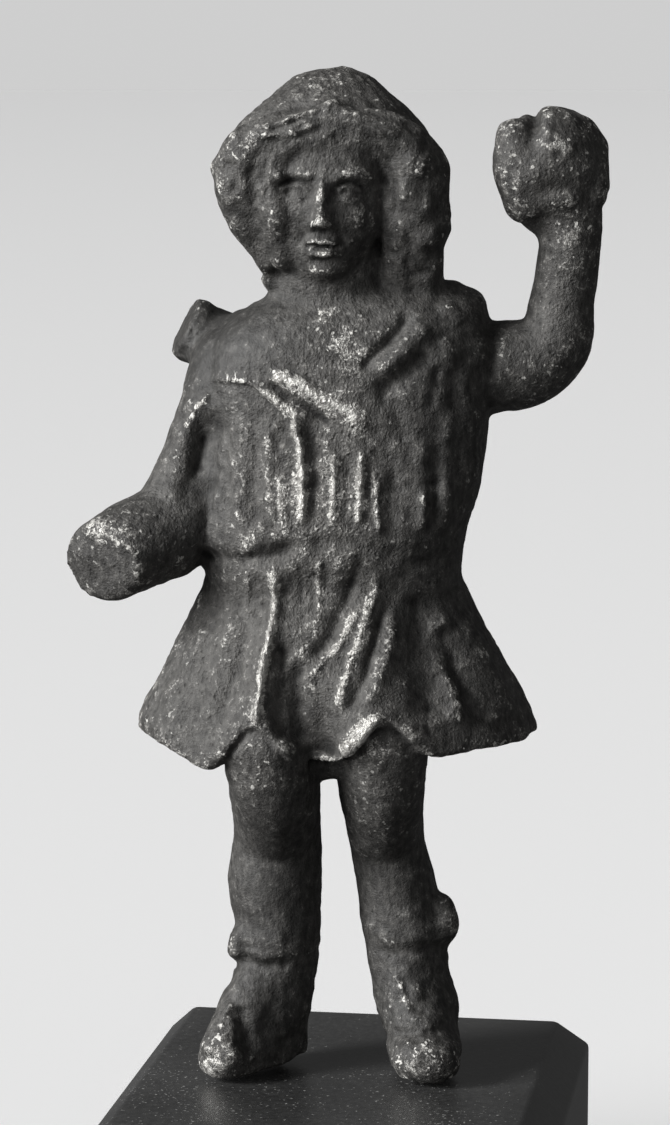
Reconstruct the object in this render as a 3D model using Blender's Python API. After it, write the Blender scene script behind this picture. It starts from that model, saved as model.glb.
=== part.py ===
"""Small cast statuette of a huntress in a short girt tunic, on the chamfered block that holds it.

The figure is one casting: body, tunic, quiver, hair and boots are a single skin.  It is shaped
from closed forms whose places and radii are hundredths of the figure's height, with X to the
viewer's right, Y away from the viewer and Z up from the soles.  The forms are fused, carved
with fold and lock strokes, and thinned to a light faceted solid.
"""

import math

import bpy
import numpy as np
from mathutils import Matrix, Vector

# Sizes of the real piece, in metres and radians
FIGURE_HEIGHT = 0.100
FIGURE_TURN = math.radians(8.8)
FIGURE_OFFSET = 0.0009
BLOCK_WIDTH = 0.0454
BLOCK_DEPTH = 0.0497
BLOCK_HEIGHT = 0.0215
BLOCK_CHAMFER = 0.0032
FOOT_GAP = 0.0003

# Fineness of the skin, as hundredths of the figure's height and as a share of its faces
SKIN_CELL = 0.55
KEPT_FACES = 0.108
SOFTENING = 0.5
SOFTENING_ROUNDS = 4
RING_SIDES = 40
TUBE_SIDES = 20

# Body outline: height, left, right, front and back of each level
TORSO = (
    (47.0, -12.0, 11.8, -7.0, 6.6),
    (50.0, -12.7, 12.3, -7.6, 7.2),
    (52.5, -13.5, 12.6, -8.4, 7.7),
    (55.0, -14.0, 13.0, -8.7, 7.9),
    (58.0, -13.6, 14.1, -8.4, 7.6),
    (62.0, -13.1, 14.8, -8.0, 7.3),
    (66.5, -12.6, 15.1, -7.8, 7.3),
    (71.0, -12.6, 15.2, -7.7, 7.3),
    (73.8, -11.6, 15.2, -7.0, 6.8),
    (75.8, -9.6, 15.0, -6.0, 6.0),
    (77.6, -7.1, 14.4, -4.6, 4.8),
    (79.0, -5.0, 12.0, -3.0, 3.6),
)

# Skirt: share of the way from belt to hem, left, right, front and back
SKIRT_TOP = 51.0
SKIRT = (
    (0.00, -12.6, 12.2, -7.4, 6.9),
    (0.12, -13.0, 12.8, -7.8, 7.4),
    (0.40, -15.2, 15.2, -8.9, 8.7),
    (0.70, -17.6, 17.8, -10.2, 10.0),
    (0.92, -19.3, 19.5, -11.0, 10.8),
    (1.00, -19.6, 19.9, -11.2, 11.0),
)
# Hem height against the angle round the body, in degrees from the viewer's right, front first
HEM = (
    (0.0, 34.7),
    (12.0, 34.2),
    (34.0, 34.3),
    (47.0, 34.0),
    (60.0, 33.4),
    (70.0, 34.6),
    (76.0, 36.2),
    (86.0, 33.0),
    (95.0, 30.2),
    (103.0, 31.8),
    (113.0, 34.4),
    (122.0, 32.6),
    (130.0, 31.9),
    (150.0, 34.1),
    (180.0, 35.2),
    (230.0, 33.4),
    (270.0, 32.6),
    (310.0, 33.2),
    (360.0, 34.7),
)
HEM_WALL = 0.86
HEM_RECESS = 2.6
SIDE_FOLDS = 17
SIDE_FOLD_DEPTH = 0.045

# Legs: height, centre across, half width, centre in depth, half depth
RIGHT_LEG = (
    (3.0, -5.6, 3.3, 1.2, 3.4),
    (6.0, -6.5, 4.6, 0.8, 4.4),
    (8.2, -6.25, 4.4, 0.8, 4.3),
    (10.5, -5.8, 4.2, 0.8, 4.2),
    (13.0, -5.65, 4.25, 0.7, 4.4),
    (15.5, -5.7, 4.55, 0.8, 4.8),
    (19.0, -5.95, 4.9, 0.9, 5.1),
    (23.0, -5.75, 4.6, 0.4, 4.7),
    (26.0, -5.85, 4.55, -0.2, 4.8),
    (29.0, -6.05, 4.8, -0.6, 5.4),
    (36.0, -6.3, 5.2, -0.6, 5.8),
)
LEFT_LEG = (
    (3.0, 8.7, 3.4, 1.0, 3.4),
    (6.0, 8.3, 4.2, 0.6, 4.3),
    (9.5, 7.6, 4.05, 0.8, 4.2),
    (12.5, 7.1, 4.1, 0.9, 4.3),
    (15.0, 6.7, 4.1, 1.0, 4.5),
    (19.0, 6.05, 4.1, 1.0, 4.7),
    (23.0, 5.2, 3.9, 0.4, 4.4),
    (25.6, 4.8, 3.95, -0.4, 4.6),
    (28.6, 4.6, 4.35, -0.9, 5.2),
    (36.0, 4.5, 5.1, -0.8, 5.7),
)

# Boots: places of heel, arch and toe with half widths and half heights
RIGHT_FOOT = (
    (-4.4, 2.8, 2.7, 2.6, 2.7),
    (-6.6, 0.6, 3.1, 2.9, 3.2),
    (-9.2, -2.1, 2.8, 3.1, 2.8),
    (-11.3, -4.3, 2.1, 3.0, 2.1),
)
LEFT_FOOT = (
    (8.5, 3.0, 2.8, 3.0, 2.8),
    (8.7, 0.4, 3.5, 3.5, 3.5),
    (8.9, -2.6, 3.1, 3.8, 3.1),
    (9.0, -5.1, 2.4, 3.5, 2.4),
)
# Turned-down boot tops: top and bottom height, how far they stand out, points round
# the edge, and the outer side
RIGHT_CUFF = (14.6, 11.4, 0.75, 5, -1)
LEFT_CUFF = (17.6, 12.9, 0.85, 5, 1)
# Flap of each boot that folds out on its outer side
RIGHT_FLAP = (
    (-9.5, -1.0, 13.7, 1.1, 1.4),
    (-9.7, -1.0, 12.2, 1.1, 1.5),
)
LEFT_FLAP = (
    (10.3, -0.4, 16.3, 1.7, 1.7),
    (10.8, -0.6, 14.7, 1.7, 2.1),
    (10.4, -0.6, 13.4, 1.3, 1.3),
)

# Arms: centre line and radius
RIGHT_ARM = (
    (-10.2, 0.6, 70.6, 4.0),
    (-11.9, 0.8, 65.6, 3.7),
    (-13.8, 0.8, 60.2, 3.9),
    (-15.9, -0.6, 55.2, 4.6),
    (-19.4, -3.4, 53.5, 4.5),
    (-23.4, -6.3, 52.0, 4.2),
)
LEFT_ARM = (
    (10.0, 0.8, 70.6, 4.9),
    (15.5, 0.8, 70.5, 4.6),
    (19.0, 0.6, 71.1, 4.4),
    (21.5, 0.2, 73.2, 3.8),
    (22.2, -0.2, 77.0, 3.2),
    (22.75, -0.6, 81.0, 3.05),
    (22.9, -0.9, 85.5, 3.1),
)
PALM = (
    (22.6, -0.8, 84.4, 3.1, 2.9),
    (21.6, -0.6, 87.2, 4.9, 3.6),
    (21.2, -0.4, 90.0, 5.3, 3.8),
    (21.6, -0.2, 92.4, 4.8, 3.4),
)
THUMB = (
    (18.6, -2.2, 87.0, 2.5),
    (17.8, -2.5, 89.9, 2.6),
    (17.4, -2.2, 92.8, 2.05),
)
# Fingers: place of the first, spacing, fall of the row, radius; then the ball of the hand
FIRST_FINGER = 20.9
FINGER_TOP = 94.7
FINGER_PITCH = 1.6
FINGER_DROP = 0.30
FINGER_RADIUS = 1.35
HAND_HEEL = (
    (18.6, -3.2, 87.4, 1.3),
    (22.0, -3.7, 87.0, 1.4),
    (25.0, -2.6, 87.0, 1.3),
)

# Neck, head and face
NECK = (
    (-0.3, 0.6, 74.0, 7.0, 5.6),
    (-0.3, 0.4, 77.5, 6.3, 5.4),
    (-0.3, 0.2, 81.0, 6.0, 5.6),
    (-0.2, 0.2, 84.5, 5.8, 5.6),
)
HEAD_TURN = math.radians(-7.0)
HEAD_TILT = math.radians(1.5)
HEAD_PIVOT = (-0.2, 0.6, 88.0)
# Head without hair: height, half width, front and back
SKULL = (
    (79.3, 2.2, -5.2, 0.5),
    (80.2, 3.6, -6.3, 2.6),
    (82.4, 5.0, -7.2, 5.4),
    (85.0, 5.9, -7.7, 7.0),
    (88.0, 6.5, -7.9, 7.8),
    (91.5, 6.6, -7.8, 7.9),
    (94.6, 5.8, -6.8, 7.0),
    (96.8, 4.0, -4.6, 5.0),
)
# Cap of hair behind the face: height, left, right, front and back
HAIR_CAP = (
    (79.4, -7.0, 8.4, 0.0, 6.6),
    (82.6, -9.0, 9.3, -1.6, 9.0),
    (86.5, -10.7, 10.3, -2.6, 10.6),
    (90.0, -11.4, 10.5, -3.6, 11.0),
    (93.0, -10.5, 9.6, -5.2, 10.4),
    (95.4, -8.4, 7.6, -6.2, 9.0),
    (97.4, -5.9, 5.3, -4.6, 6.8),
    (98.9, -3.7, 3.2, -2.2, 4.2),
    (99.6, -1.2, 1.4, -0.4, 1.8),
)
# Rolls of hair drawn from the parting down each side: centre line and radius
RIGHT_ROLL = (
    (-0.6, -6.4, 94.6, 1.4),
    (-4.4, -6.2, 93.9, 1.9),
    (-8.0, -4.8, 92.0, 2.5),
    (-9.1, -3.9, 88.9, 2.6),
    (-8.5, -3.4, 85.8, 2.3),
    (-7.0, -2.4, 82.6, 1.8),
)
LEFT_ROLL = (
    (-0.2, -6.4, 94.6, 1.4),
    (4.0, -6.2, 93.9, 1.9),
    (7.2, -4.9, 91.8, 2.4),
    (8.6, -4.2, 88.6, 2.6),
    (8.6, -3.8, 85.0, 2.6),
    (8.2, -3.2, 81.6, 2.2),
    (8.7, -2.4, 78.6, 2.0),
)
ROLL_LOCKS = 4.5
ROLL_RELIEF = 0.10
NAPE_KNOT = (0.0, 9.2, 84.0, 3.6)

# Quiver slung across the back, from its mouth behind the right shoulder: centre line and radius
QUIVER = (
    (-15.0, 3.6, 74.5, 2.8),
    (-9.0, 6.0, 71.2, 3.0),
    (-2.0, 8.6, 65.6, 2.7),
    (4.4, 9.0, 60.6, 2.3),
)

# Relief strokes: half width, height above the skin, then the points of the line, each across and
# up.  A negative height is cut in.  They are drawn on a sheet through the figure's middle and
# fall on the skin along the lines of sight of an eye in front of it, or straight on the back.
EYE_DISTANCE = 342.0
EYE_HEIGHT = 98.4
FRONT_STROKES = (
    (1.15, 0.75, ((-7.6, 71.2), (-4.0, 68.6), (-0.4, 66.8), (4.6, 64.9))),
    (0.60, -0.60, ((-8.6, 69.6), (-5.0, 67.2), (-3.4, 65.6))),
    (1.00, 0.70, ((9.4, 76.8), (6.4, 73.4), (3.2, 69.6))),
    (0.55, -0.95, ((7.2, 75.8), (4.6, 73.2), (2.4, 71.2))),
    (0.60, -0.90, ((8.4, 73.2), (6.4, 70.6), (4.6, 68.6))),
    (0.70, 0.55, ((-6.2, 76.4), (-3.4, 73.8), (0.6, 71.2))),
    (0.75, 0.75, ((-6.6, 68.2), (-3.6, 65.4), (-3.2, 59.5), (-3.0, 55.0))),
    (0.80, -1.25, ((-2.0, 65.6), (-1.7, 60.5), (-1.8, 54.6))),
    (0.55, 0.50, ((-5.4, 64.0), (-5.6, 55.0))),
    (0.60, -0.50, ((-4.4, 62.0), (-4.4, 54.4))),
    (0.60, -0.50, ((-7.2, 66.4), (-7.6, 55.6))),
    (0.60, 0.45, ((-8.8, 66.0), (-9.6, 55.0))),
    (0.60, -0.55, ((-10.4, 66.0), (-11.4, 56.0))),
    (0.65, 0.60, ((0.0, 62.5), (0.0, 54.6))),
    (0.50, -0.55, ((1.2, 63.0), (1.2, 54.6))),
    (0.60, 0.55, ((2.4, 63.6), (2.4, 54.6))),
    (0.50, -0.50, ((3.5, 62.0), (3.4, 55.0))),
    (0.60, 0.50, ((4.3, 61.4), (4.3, 54.4))),
    (0.70, -0.75, ((5.6, 62.0), (5.4, 52.4))),
    (0.70, 0.50, ((7.0, 64.0), (6.9, 53.6))),
    (0.55, -0.50, ((8.1, 63.0), (8.0, 53.4))),
    (0.70, 0.50, ((9.3, 70.6), (9.2, 64.0), (9.0, 53.6))),
    (0.60, -0.70, ((11.8, 72.0), (11.6, 62.0), (10.6, 54.0))),
    (0.70, -0.55, ((6.6, 68.0), (7.2, 64.6))),
    (0.70, -1.30, ((-13.0, 51.8), (-8.0, 52.6), (-4.2, 53.5), (4.4, 53.3), (5.6, 51.7), (12.6, 50.7))),
    (1.00, 0.55, ((-13.0, 53.4), (-8.0, 54.3), (-4.0, 55.2), (4.2, 55.0), (6.0, 53.6), (12.4, 52.6))),
    (0.85, -1.05, ((2.0, 50.6), (0.6, 46.4), (-1.2, 43.0), (-3.0, 41.4))),
    (0.80, 0.70, ((0.2, 50.8), (-0.8, 47.4), (-2.4, 45.6))),
    (0.75, 0.75, ((4.2, 50.4), (2.8, 46.4), (1.0, 42.4), (0.2, 36.4))),
    (0.70, -1.00, ((5.2, 48.4), (3.8, 43.8), (2.6, 40.4), (1.2, 37.4))),
    (0.80, 0.80, ((-6.4, 50.4), (-6.0, 45.6), (-7.0, 40.0), (-8.2, 33.8))),
    (1.20, -0.90, ((-4.6, 42.4), (-4.8, 38.0), (-3.9, 32.0))),
    (0.80, 0.60, ((-2.2, 40.0), (-2.0, 31.6))),
    (0.90, 0.70, ((5.4, 42.6), (3.2, 38.0), (3.0, 35.6))),
    (1.60, -0.90, ((7.6, 47.0), (7.9, 41.0), (7.8, 34.4))),
    (0.90, 0.70, ((10.0, 47.4), (11.0, 40.6), (11.6, 33.6))),
    (0.90, -1.00, ((11.6, 44.4), (13.2, 40.2), (14.2, 33.8))),
    (1.00, 0.60, ((13.0, 45.6), (15.4, 40.0), (16.6, 34.6))),
    (0.70, -0.60, ((-9.2, 46.6), (-10.6, 40.6), (-11.8, 33.4))),
    (0.80, 0.55, ((-11.0, 46.0), (-12.8, 40.0), (-14.0, 33.6))),
    (0.70, -0.50, ((-12.8, 43.4), (-14.6, 38.6), (-15.6, 34.6))),
    (0.80, 0.55, ((4.6, 34.8), (0.6, 31.4))),
)
BACK_STROKES = (
    (0.70, -1.20, ((-13.0, 52.0), (-4.0, 51.8), (4.0, 51.8), (12.6, 50.9))),
    (1.00, 0.55, ((-13.0, 53.8), (-4.0, 53.6), (4.0, 53.6), (12.4, 52.7))),
    (0.60, -0.60, ((-8.4, 92.0), (-3.6, 90.6), (3.8, 90.6), (8.4, 92.0))),
    (0.60, -0.60, ((-9.0, 88.4), (-4.0, 87.4), (4.0, 87.4), (8.8, 88.4))),
    (0.60, -0.60, ((-6.8, 95.0), (-2.4, 94.0), (2.6, 94.0), (6.6, 95.0))),
    (0.60, -0.60, ((0.0, 98.6), (0.0, 87.8))),
    (1.10, 0.80, ((12.6, 77.0), (8.0, 71.0), (-1.0, 62.0), (-9.6, 55.0))),
    (0.70, -0.80, ((-9.0, 62.0), (-9.4, 54.0))),
    (0.70, -0.70, ((-5.6, 60.0), (-5.8, 54.0))),
    (0.70, 0.60, ((-1.6, 58.8), (-1.8, 53.4))),
    (0.70, -0.70, ((1.4, 58.0), (1.4, 53.4))),
    (0.70, -0.70, ((8.6, 68.0), (8.0, 53.4))),
    (0.80, -0.80, ((11.0, 66.0), (10.6, 53.6))),
)
LOCK_STROKES = (
    (0.55, -0.60, ((-1.2, 96.4), (-5.4, 95.2), (-8.8, 92.4))),
    (0.55, -0.60, ((0.8, 96.4), (4.8, 95.4), (8.0, 93.2))),
    (0.60, 0.45, ((-1.0, 97.6), (-5.0, 96.4), (-8.2, 94.0))),
    (0.60, 0.45, ((1.2, 97.6), (4.6, 96.6), (7.4, 94.6))),
)

# Face, in its own hundredths from the head's pivot: across, up, half width, half height, relief
FACE_FORMS = (
    (-2.7, 1.1, 1.9, 0.55, 0.50),
    (2.7, 1.1, 1.9, 0.55, 0.50),
    (-2.5, -0.3, 1.35, 0.85, -0.95),
    (2.5, -0.3, 1.35, 0.85, -0.95),
    (-2.6, -0.4, 0.85, 0.50, 0.70),
    (2.6, -0.4, 0.85, 0.50, 0.70),
    (0.0, -0.6, 0.62, 1.30, 1.15),
    (0.0, -2.9, 0.95, 0.85, 1.75),
    (0.0, -5.1, 1.50, 0.32, 0.70),
    (0.0, -6.1, 1.20, 0.36, 0.65),
    (0.0, -5.62, 1.60, 0.18, -0.35),
    (0.0, -6.95, 1.20, 0.36, -0.40),
    (0.0, -8.0, 1.50, 0.80, 0.75),
    (-3.9, -3.2, 1.60, 1.70, 0.40),
    (3.9, -3.2, 1.60, 1.70, 0.40),
)


def bronze_material():
    """Dark brown patina of the casting."""
    return plain_material("bronze", (0.075, 0.068, 0.060, 1.0), 0.48, 0.75)


def block_material():
    """Black varnish of the mount block."""
    return plain_material("block_varnish", (0.035, 0.035, 0.035, 1.0), 0.35, 0.0)


def plain_material(name, colour, roughness, metallic):
    """Principled material with one colour."""
    material = bpy.data.materials.new(name)
    material.use_nodes = True
    shader = material.node_tree.nodes["Principled BSDF"]
    shader.inputs["Base Color"].default_value = colour
    shader.inputs["Roughness"].default_value = roughness
    shader.inputs["Metallic"].default_value = metallic
    return material


def smooth_rows(rows, steps):
    """Curve through rows of numbers, each span cut into steps (Catmull-Rom)."""
    table = np.asarray(rows, dtype=float)
    before = np.vstack([2 * table[0] - table[1], table[:-1]])[:-1]
    start, end = table[:-1], table[1:]
    after = np.vstack([table[2:], 2 * table[-1] - table[-2]])
    t = np.linspace(0.0, 1.0, steps, endpoint=False)[:, None, None]
    spans = 0.5 * (
        2 * start
        + (end - before) * t
        + (2 * before - 5 * start + 4 * end - after) * t**2
        + (3 * start - before - 3 * end + after) * t**3
    )
    curve = spans.transpose(1, 0, 2).reshape(-1, table.shape[1])
    return np.vstack([curve, table[-1]])


def swing(rings, pivot, turn, tilt):
    """Points turned about the vertical and tilted sideways, both about one pivot."""
    spin = Matrix.Rotation(tilt, 3, "Y") @ Matrix.Rotation(turn, 3, "Z")
    centre = np.asarray(pivot)
    return (rings - centre) @ np.asarray(spin).T + centre


class Forms:
    """Closed forms gathered for one casting."""

    def __init__(self):
        self.points = []
        self.faces = []
        self.count = 0

    def loft(self, rings):
        """Skin over a stack of rings, closed at both ends by a fan."""
        levels, sides, _ = rings.shape
        first = self.count
        self.points.append(rings.reshape(-1, 3))
        self.points.append(np.array([rings[0].mean(axis=0), rings[-1].mean(axis=0)]))
        start_pole = first + levels * sides
        end_pole = start_pole + 1
        for j in range(sides):
            k = (j + 1) % sides
            for i in range(levels - 1):
                low, high = first + i * sides, first + (i + 1) * sides
                self.faces.append((low + j, low + k, high + k, high + j))
            top = first + (levels - 1) * sides
            self.faces.append((start_pole, first + k, first + j))
            self.faces.append((end_pole, top + j, top + k))
        self.count = end_pole + 1

    def ovals(self, rows, steps=4, power=2.3, swung=None):
        """Upright form from rows of height, left, right, front and back."""
        height, left, right, front, back = smooth_rows(rows, steps).T
        angle = np.linspace(0.0, 2 * math.pi, RING_SIDES, endpoint=False)
        cos, sin = np.cos(angle), np.sin(angle)
        across = np.sign(cos) * np.abs(cos) ** (2 / power)
        along = np.sign(sin) * np.abs(sin) ** (2 / power)
        x = 0.5 * (left + right)[:, None] + 0.5 * (right - left)[:, None] * across
        y = np.where(along < 0, -front[:, None] * along, back[:, None] * along)
        z = np.broadcast_to(height[:, None], x.shape)
        rings = np.stack([x, y, z], axis=2)
        self.loft(rings if swung is None else swing(rings, *swung))

    def tube(self, rows, steps=5, flat_start=False, flat_end=False, swell=None):
        """Tube along rows of X, Y, Z, radius and, if given, a second radius; its ends are round unless flat."""
        table = smooth_rows(rows, steps)
        path, radius = table[:, :3], table[:, 3:]
        if radius.shape[1] == 1:
            radius = np.hstack([radius, radius])
        if swell is not None:
            turns, relief = swell
            wave = 1 + relief * np.cos(2 * math.pi * turns * np.linspace(0, 1, len(path)))
            radius = radius * wave[:, None]
        ahead = np.gradient(path, axis=0)
        ahead /= np.linalg.norm(ahead, axis=1)[:, None]
        if not flat_start:
            path, radius, ahead = dome(path, radius, ahead, 0)
        if not flat_end:
            path, radius, ahead = dome(path, radius, ahead, -1)
        side, up = tube_frames(ahead)
        angle = np.linspace(0.0, 2 * math.pi, TUBE_SIDES, endpoint=False)
        rings = (
            path[:, None, :]
            + side[:, None, :] * (np.cos(angle)[:, None] * radius[:, None, 0:1])
            + up[:, None, :] * (np.sin(angle)[:, None] * radius[:, None, 1:2])
        )
        self.loft(rings)

    def mesh(self, name):
        """The gathered forms as one mesh."""
        mesh = bpy.data.meshes.new(name)
        mesh.from_pydata(np.vstack(self.points).tolist(), [], self.faces)
        return mesh


def dome(path, radius, ahead, end):
    """Rings that round off one end of a tube."""
    bend = np.radians((30.0, 55.0, 75.0, 87.0))
    sign = -1.0 if end == 0 else 1.0
    reach = radius[end].min()
    extra = path[end] + sign * ahead[end] * (reach * np.sin(bend))[:, None]
    rings = radius[end] * np.cos(bend)[:, None]
    facing = np.repeat(ahead[end][None, :], len(bend), axis=0)
    if end == 0:
        return np.vstack([extra[::-1], path]), np.vstack([rings[::-1], radius]), np.vstack([facing, ahead])
    return np.vstack([path, extra]), np.vstack([radius, rings]), np.vstack([ahead, facing])


def tube_frames(ahead):
    """Side and up directions at each point of a path, carried along without twist."""
    start = Vector((1.0, 0.0, 0.0)) if abs(ahead[0][0]) < 0.8 else Vector((0.0, 1.0, 0.0))
    sides = []
    side = np.asarray(start)
    for direction in ahead:
        side = side - direction * np.dot(side, direction)
        side = side / np.linalg.norm(side)
        sides.append(side)
    side = np.asarray(sides)
    return side, np.cross(ahead, side)


def add_skirt(forms):
    """Flared skirt with folds round it, an uneven hem and a hollow underneath."""
    share, left, right, front, back = smooth_rows(SKIRT, 4).T
    angle = np.linspace(0.0, 2 * math.pi, 3 * RING_SIDES, endpoint=False)
    hem_angle, hem_height = np.asarray(HEM).T
    hem = np.interp(-np.degrees(angle) % 360.0, hem_angle, hem_height)
    cos, sin = np.cos(angle), np.sin(angle)
    folds = 1 + SIDE_FOLD_DEPTH * share[:, None] * np.cos(SIDE_FOLDS * angle) * np.clip(0.4 + sin, 0.15, 1.0)
    x = 0.5 * (left + right)[:, None] + 0.5 * (right - left)[:, None] * cos * folds
    y = np.where(sin < 0, -front[:, None], back[:, None]) * sin * folds
    z = SKIRT_TOP + (hem - SKIRT_TOP) * share[:, None]
    outer = np.stack([x, y, z], axis=2)
    rim = outer[-1]
    middle = rim.mean(axis=0)
    inner = middle + (rim - middle) * np.array([HEM_WALL, HEM_WALL, 0.6])
    deep = inner * np.array([0.94, 0.94, 1.0]) + np.array([0.0, 0.0, HEM_RECESS])
    forms.loft(np.concatenate([outer, inner[None], deep[None]]))


def add_leg(forms, rows):
    """Leg from rows of height, centre across, half width, centre in depth and half depth."""
    table = np.asarray(rows)
    height, middle, wide, depth, deep = smooth_rows(table, 4).T
    angle = np.linspace(0.0, 2 * math.pi, RING_SIDES, endpoint=False)
    x = middle[:, None] + wide[:, None] * np.cos(angle)
    y = depth[:, None] + deep[:, None] * np.sin(angle)
    z = np.broadcast_to(height[:, None], x.shape)
    forms.loft(np.stack([x, y, z], axis=2))


def add_cuff(forms, leg, cuff):
    """Turned-down boot top with a pointed lower edge, wrapped round a leg."""
    top, bottom, stand, points, outside = cuff
    table = np.asarray(leg)
    share = np.array([0.0, 0.08, 0.5, 0.9, 1.0])
    proud = np.array([-0.6, 0.55, 0.8, 1.0, -0.6]) * stand
    angle = np.linspace(0.0, 2 * math.pi, RING_SIDES, endpoint=False)
    edge = 0.8 * np.abs(np.cos(0.5 * points * angle))
    outward = 0.55 + 0.45 * outside * np.cos(angle)
    z = top + (bottom + edge - top) * share[:, None]
    middle, wide, depth, deep = (np.interp(z, table[:, 0], table[:, k]) for k in range(1, 5))
    rise = proud[:, None] * outward
    x = middle + (wide + rise) * np.cos(angle)
    y = depth + (deep + rise) * np.sin(angle)
    forms.loft(np.stack([x, y, z], axis=2))


def add_hand(forms):
    """Closed hand of the raised arm: palm, thumb and four curled fingers."""
    forms.tube(PALM)
    forms.tube(THUMB)
    for k in range(4):
        x = FIRST_FINGER + FINGER_PITCH * k
        z = FINGER_TOP - FINGER_DROP * k * k
        forms.tube(
            (
                (x + 0.1 * k, 1.0, z - 4.0, FINGER_RADIUS),
                (x, 0.4, z - 0.9, FINGER_RADIUS),
                (x - 0.1, -1.9, z - 0.1, FINGER_RADIUS),
                (x - 0.2, -3.6, z - 1.8, FINGER_RADIUS),
                (x - 0.3, -3.9, z - 4.6, FINGER_RADIUS),
            )
        )
    forms.tube(HAND_HEEL)


def add_head(forms):
    """Head, cap of hair, side rolls and nape knot, turned a little to the viewer's left."""
    swung = (HEAD_PIVOT, HEAD_TURN, HEAD_TILT)
    skull = [(z, -wide + HEAD_PIVOT[0], wide + HEAD_PIVOT[0], front, back) for z, wide, front, back in SKULL]
    forms.ovals(skull, swung=swung)
    forms.ovals(HAIR_CAP, power=2.1)
    for roll in (RIGHT_ROLL, LEFT_ROLL):
        forms.tube(roll, steps=8, swell=(ROLL_LOCKS, ROLL_RELIEF))
    x, y, z, radius = NAPE_KNOT
    forms.tube(((x, y - 1.0, z + 1.6, 0.8 * radius), (x, y, z, radius), (x, y - 1.2, z - 2.0, 0.7 * radius)))


def gather_forms():
    """Every form of the figure, overlapping where they join."""
    forms = Forms()
    forms.ovals(TORSO, power=2.6)
    add_skirt(forms)
    for leg, foot, cuff in ((RIGHT_LEG, RIGHT_FOOT, RIGHT_CUFF), (LEFT_LEG, LEFT_FOOT, LEFT_CUFF)):
        add_leg(forms, leg)
        forms.tube(foot)
        add_cuff(forms, leg, cuff)
    forms.tube(LEFT_FLAP)
    forms.tube(RIGHT_FLAP)
    forms.tube(RIGHT_ARM, flat_end=True)
    forms.tube(LEFT_ARM)
    add_hand(forms)
    forms.tube(NECK)
    add_head(forms)
    forms.tube(QUIVER, flat_start=True)
    return forms


def seen_from_front(points):
    """Where the eye's line of sight through each point crosses the sheet, across and up."""
    scale = 1 + points[:, 1] / EYE_DISTANCE
    return np.stack([points[:, 0] / scale, EYE_HEIGHT + (points[:, 2] - EYE_HEIGHT) / scale], axis=1)


def stroke_relief(flat, strokes):
    """Height of every stroke at each point of the sheet, by its distance from the stroke's line."""
    relief = np.zeros(len(flat))
    for wide, high, line in strokes:
        nearest = np.full(len(flat), np.inf)
        for start, end in zip(line[:-1], line[1:]):
            start, run = np.asarray(start), np.subtract(end, start)
            share = np.clip((flat - start) @ run / (run @ run), 0.0, 1.0)
            gap = np.linalg.norm(flat - start - share[:, None] * run, axis=1)
            nearest = np.minimum(nearest, gap)
        relief += high * np.exp(-((nearest / wide) ** 2))
    return relief


def face_relief(points):
    """Brow, eyes, nose, mouth, chin and cheeks as smooth mounds on the front of the head."""
    local = swing(points, HEAD_PIVOT, 0.0, 0.0) - np.asarray(HEAD_PIVOT)
    back = Matrix.Rotation(-HEAD_TURN, 3, "Z") @ Matrix.Rotation(-HEAD_TILT, 3, "Y")
    local = local @ np.asarray(back).T
    relief = np.zeros(len(points))
    for across, up, wide, high, height in FACE_FORMS:
        spread = ((local[:, 0] - across) / wide) ** 2 + ((local[:, 2] - up) / high) ** 2
        relief += height * np.exp(-spread)
    on_face = (local[:, 1] < -4.0) & (np.abs(local[:, 0]) < 6.6)
    return np.where(on_face, relief, 0.0)


def fused(name, mesh, cell):
    """One closed skin over overlapping forms, as a new mesh."""
    source = bpy.data.objects.new(name, mesh)
    bpy.context.collection.objects.link(source)
    remesh = source.modifiers.new("fuse", "REMESH")
    remesh.mode = "VOXEL"
    remesh.voxel_size = cell
    soften = source.modifiers.new("soften", "SMOOTH")
    soften.factor = SOFTENING
    soften.iterations = SOFTENING_ROUNDS
    result = evaluated_mesh(source, name)
    bpy.data.objects.remove(source)
    return result


def evaluated_mesh(source, name):
    """Copy of an object's mesh with its modifiers applied."""
    graph = bpy.context.evaluated_depsgraph_get()
    graph.update()
    result = bpy.data.meshes.new_from_object(source.evaluated_get(graph))
    result.name = name
    return result


def carve(mesh):
    """Raise and cut the strokes and the face along the skin's normals, and level the soles."""
    count = len(mesh.vertices)
    points = np.empty(3 * count)
    normals = np.empty(3 * count)
    mesh.vertices.foreach_get("co", points)
    mesh.vertices.foreach_get("normal", normals)
    points, normals = points.reshape(-1, 3), normals.reshape(-1, 3)
    front = np.clip(-1.6 * normals[:, 1], 0.0, 1.0)
    back = np.clip(1.6 * normals[:, 1], 0.0, 1.0)
    sheet = seen_from_front(points)
    move = front * (stroke_relief(sheet, FRONT_STROKES) + stroke_relief(sheet, LOCK_STROKES))
    move += back * stroke_relief(points[:, [0, 2]], BACK_STROKES)
    move += front * face_relief(points)
    points = points + normals * move[:, None]
    points[:, 2] = np.maximum(points[:, 2], 0.0)
    mesh.vertices.foreach_set("co", points.ravel())
    mesh.update()


def build_figure():
    """The casting, standing on the block and turned as it is mounted."""
    cell = SKIN_CELL
    mesh = fused("figure", gather_forms().mesh("figure_forms"), cell)
    carve(mesh)
    figure = bpy.data.objects.new("figure", mesh)
    bpy.context.collection.objects.link(figure)
    thin = figure.modifiers.new("thin", "DECIMATE")
    thin.ratio = KEPT_FACES
    thin.use_collapse_triangulate = True
    unit = FIGURE_HEIGHT / 100
    mesh.transform(Matrix.Diagonal((unit, unit, unit, 1.0)))
    figure.location = (-FIGURE_OFFSET, 0.0, BLOCK_HEIGHT + FOOT_GAP)
    figure.rotation_euler = (0.0, 0.0, FIGURE_TURN)
    mesh.materials.append(bronze_material())
    return figure


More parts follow.
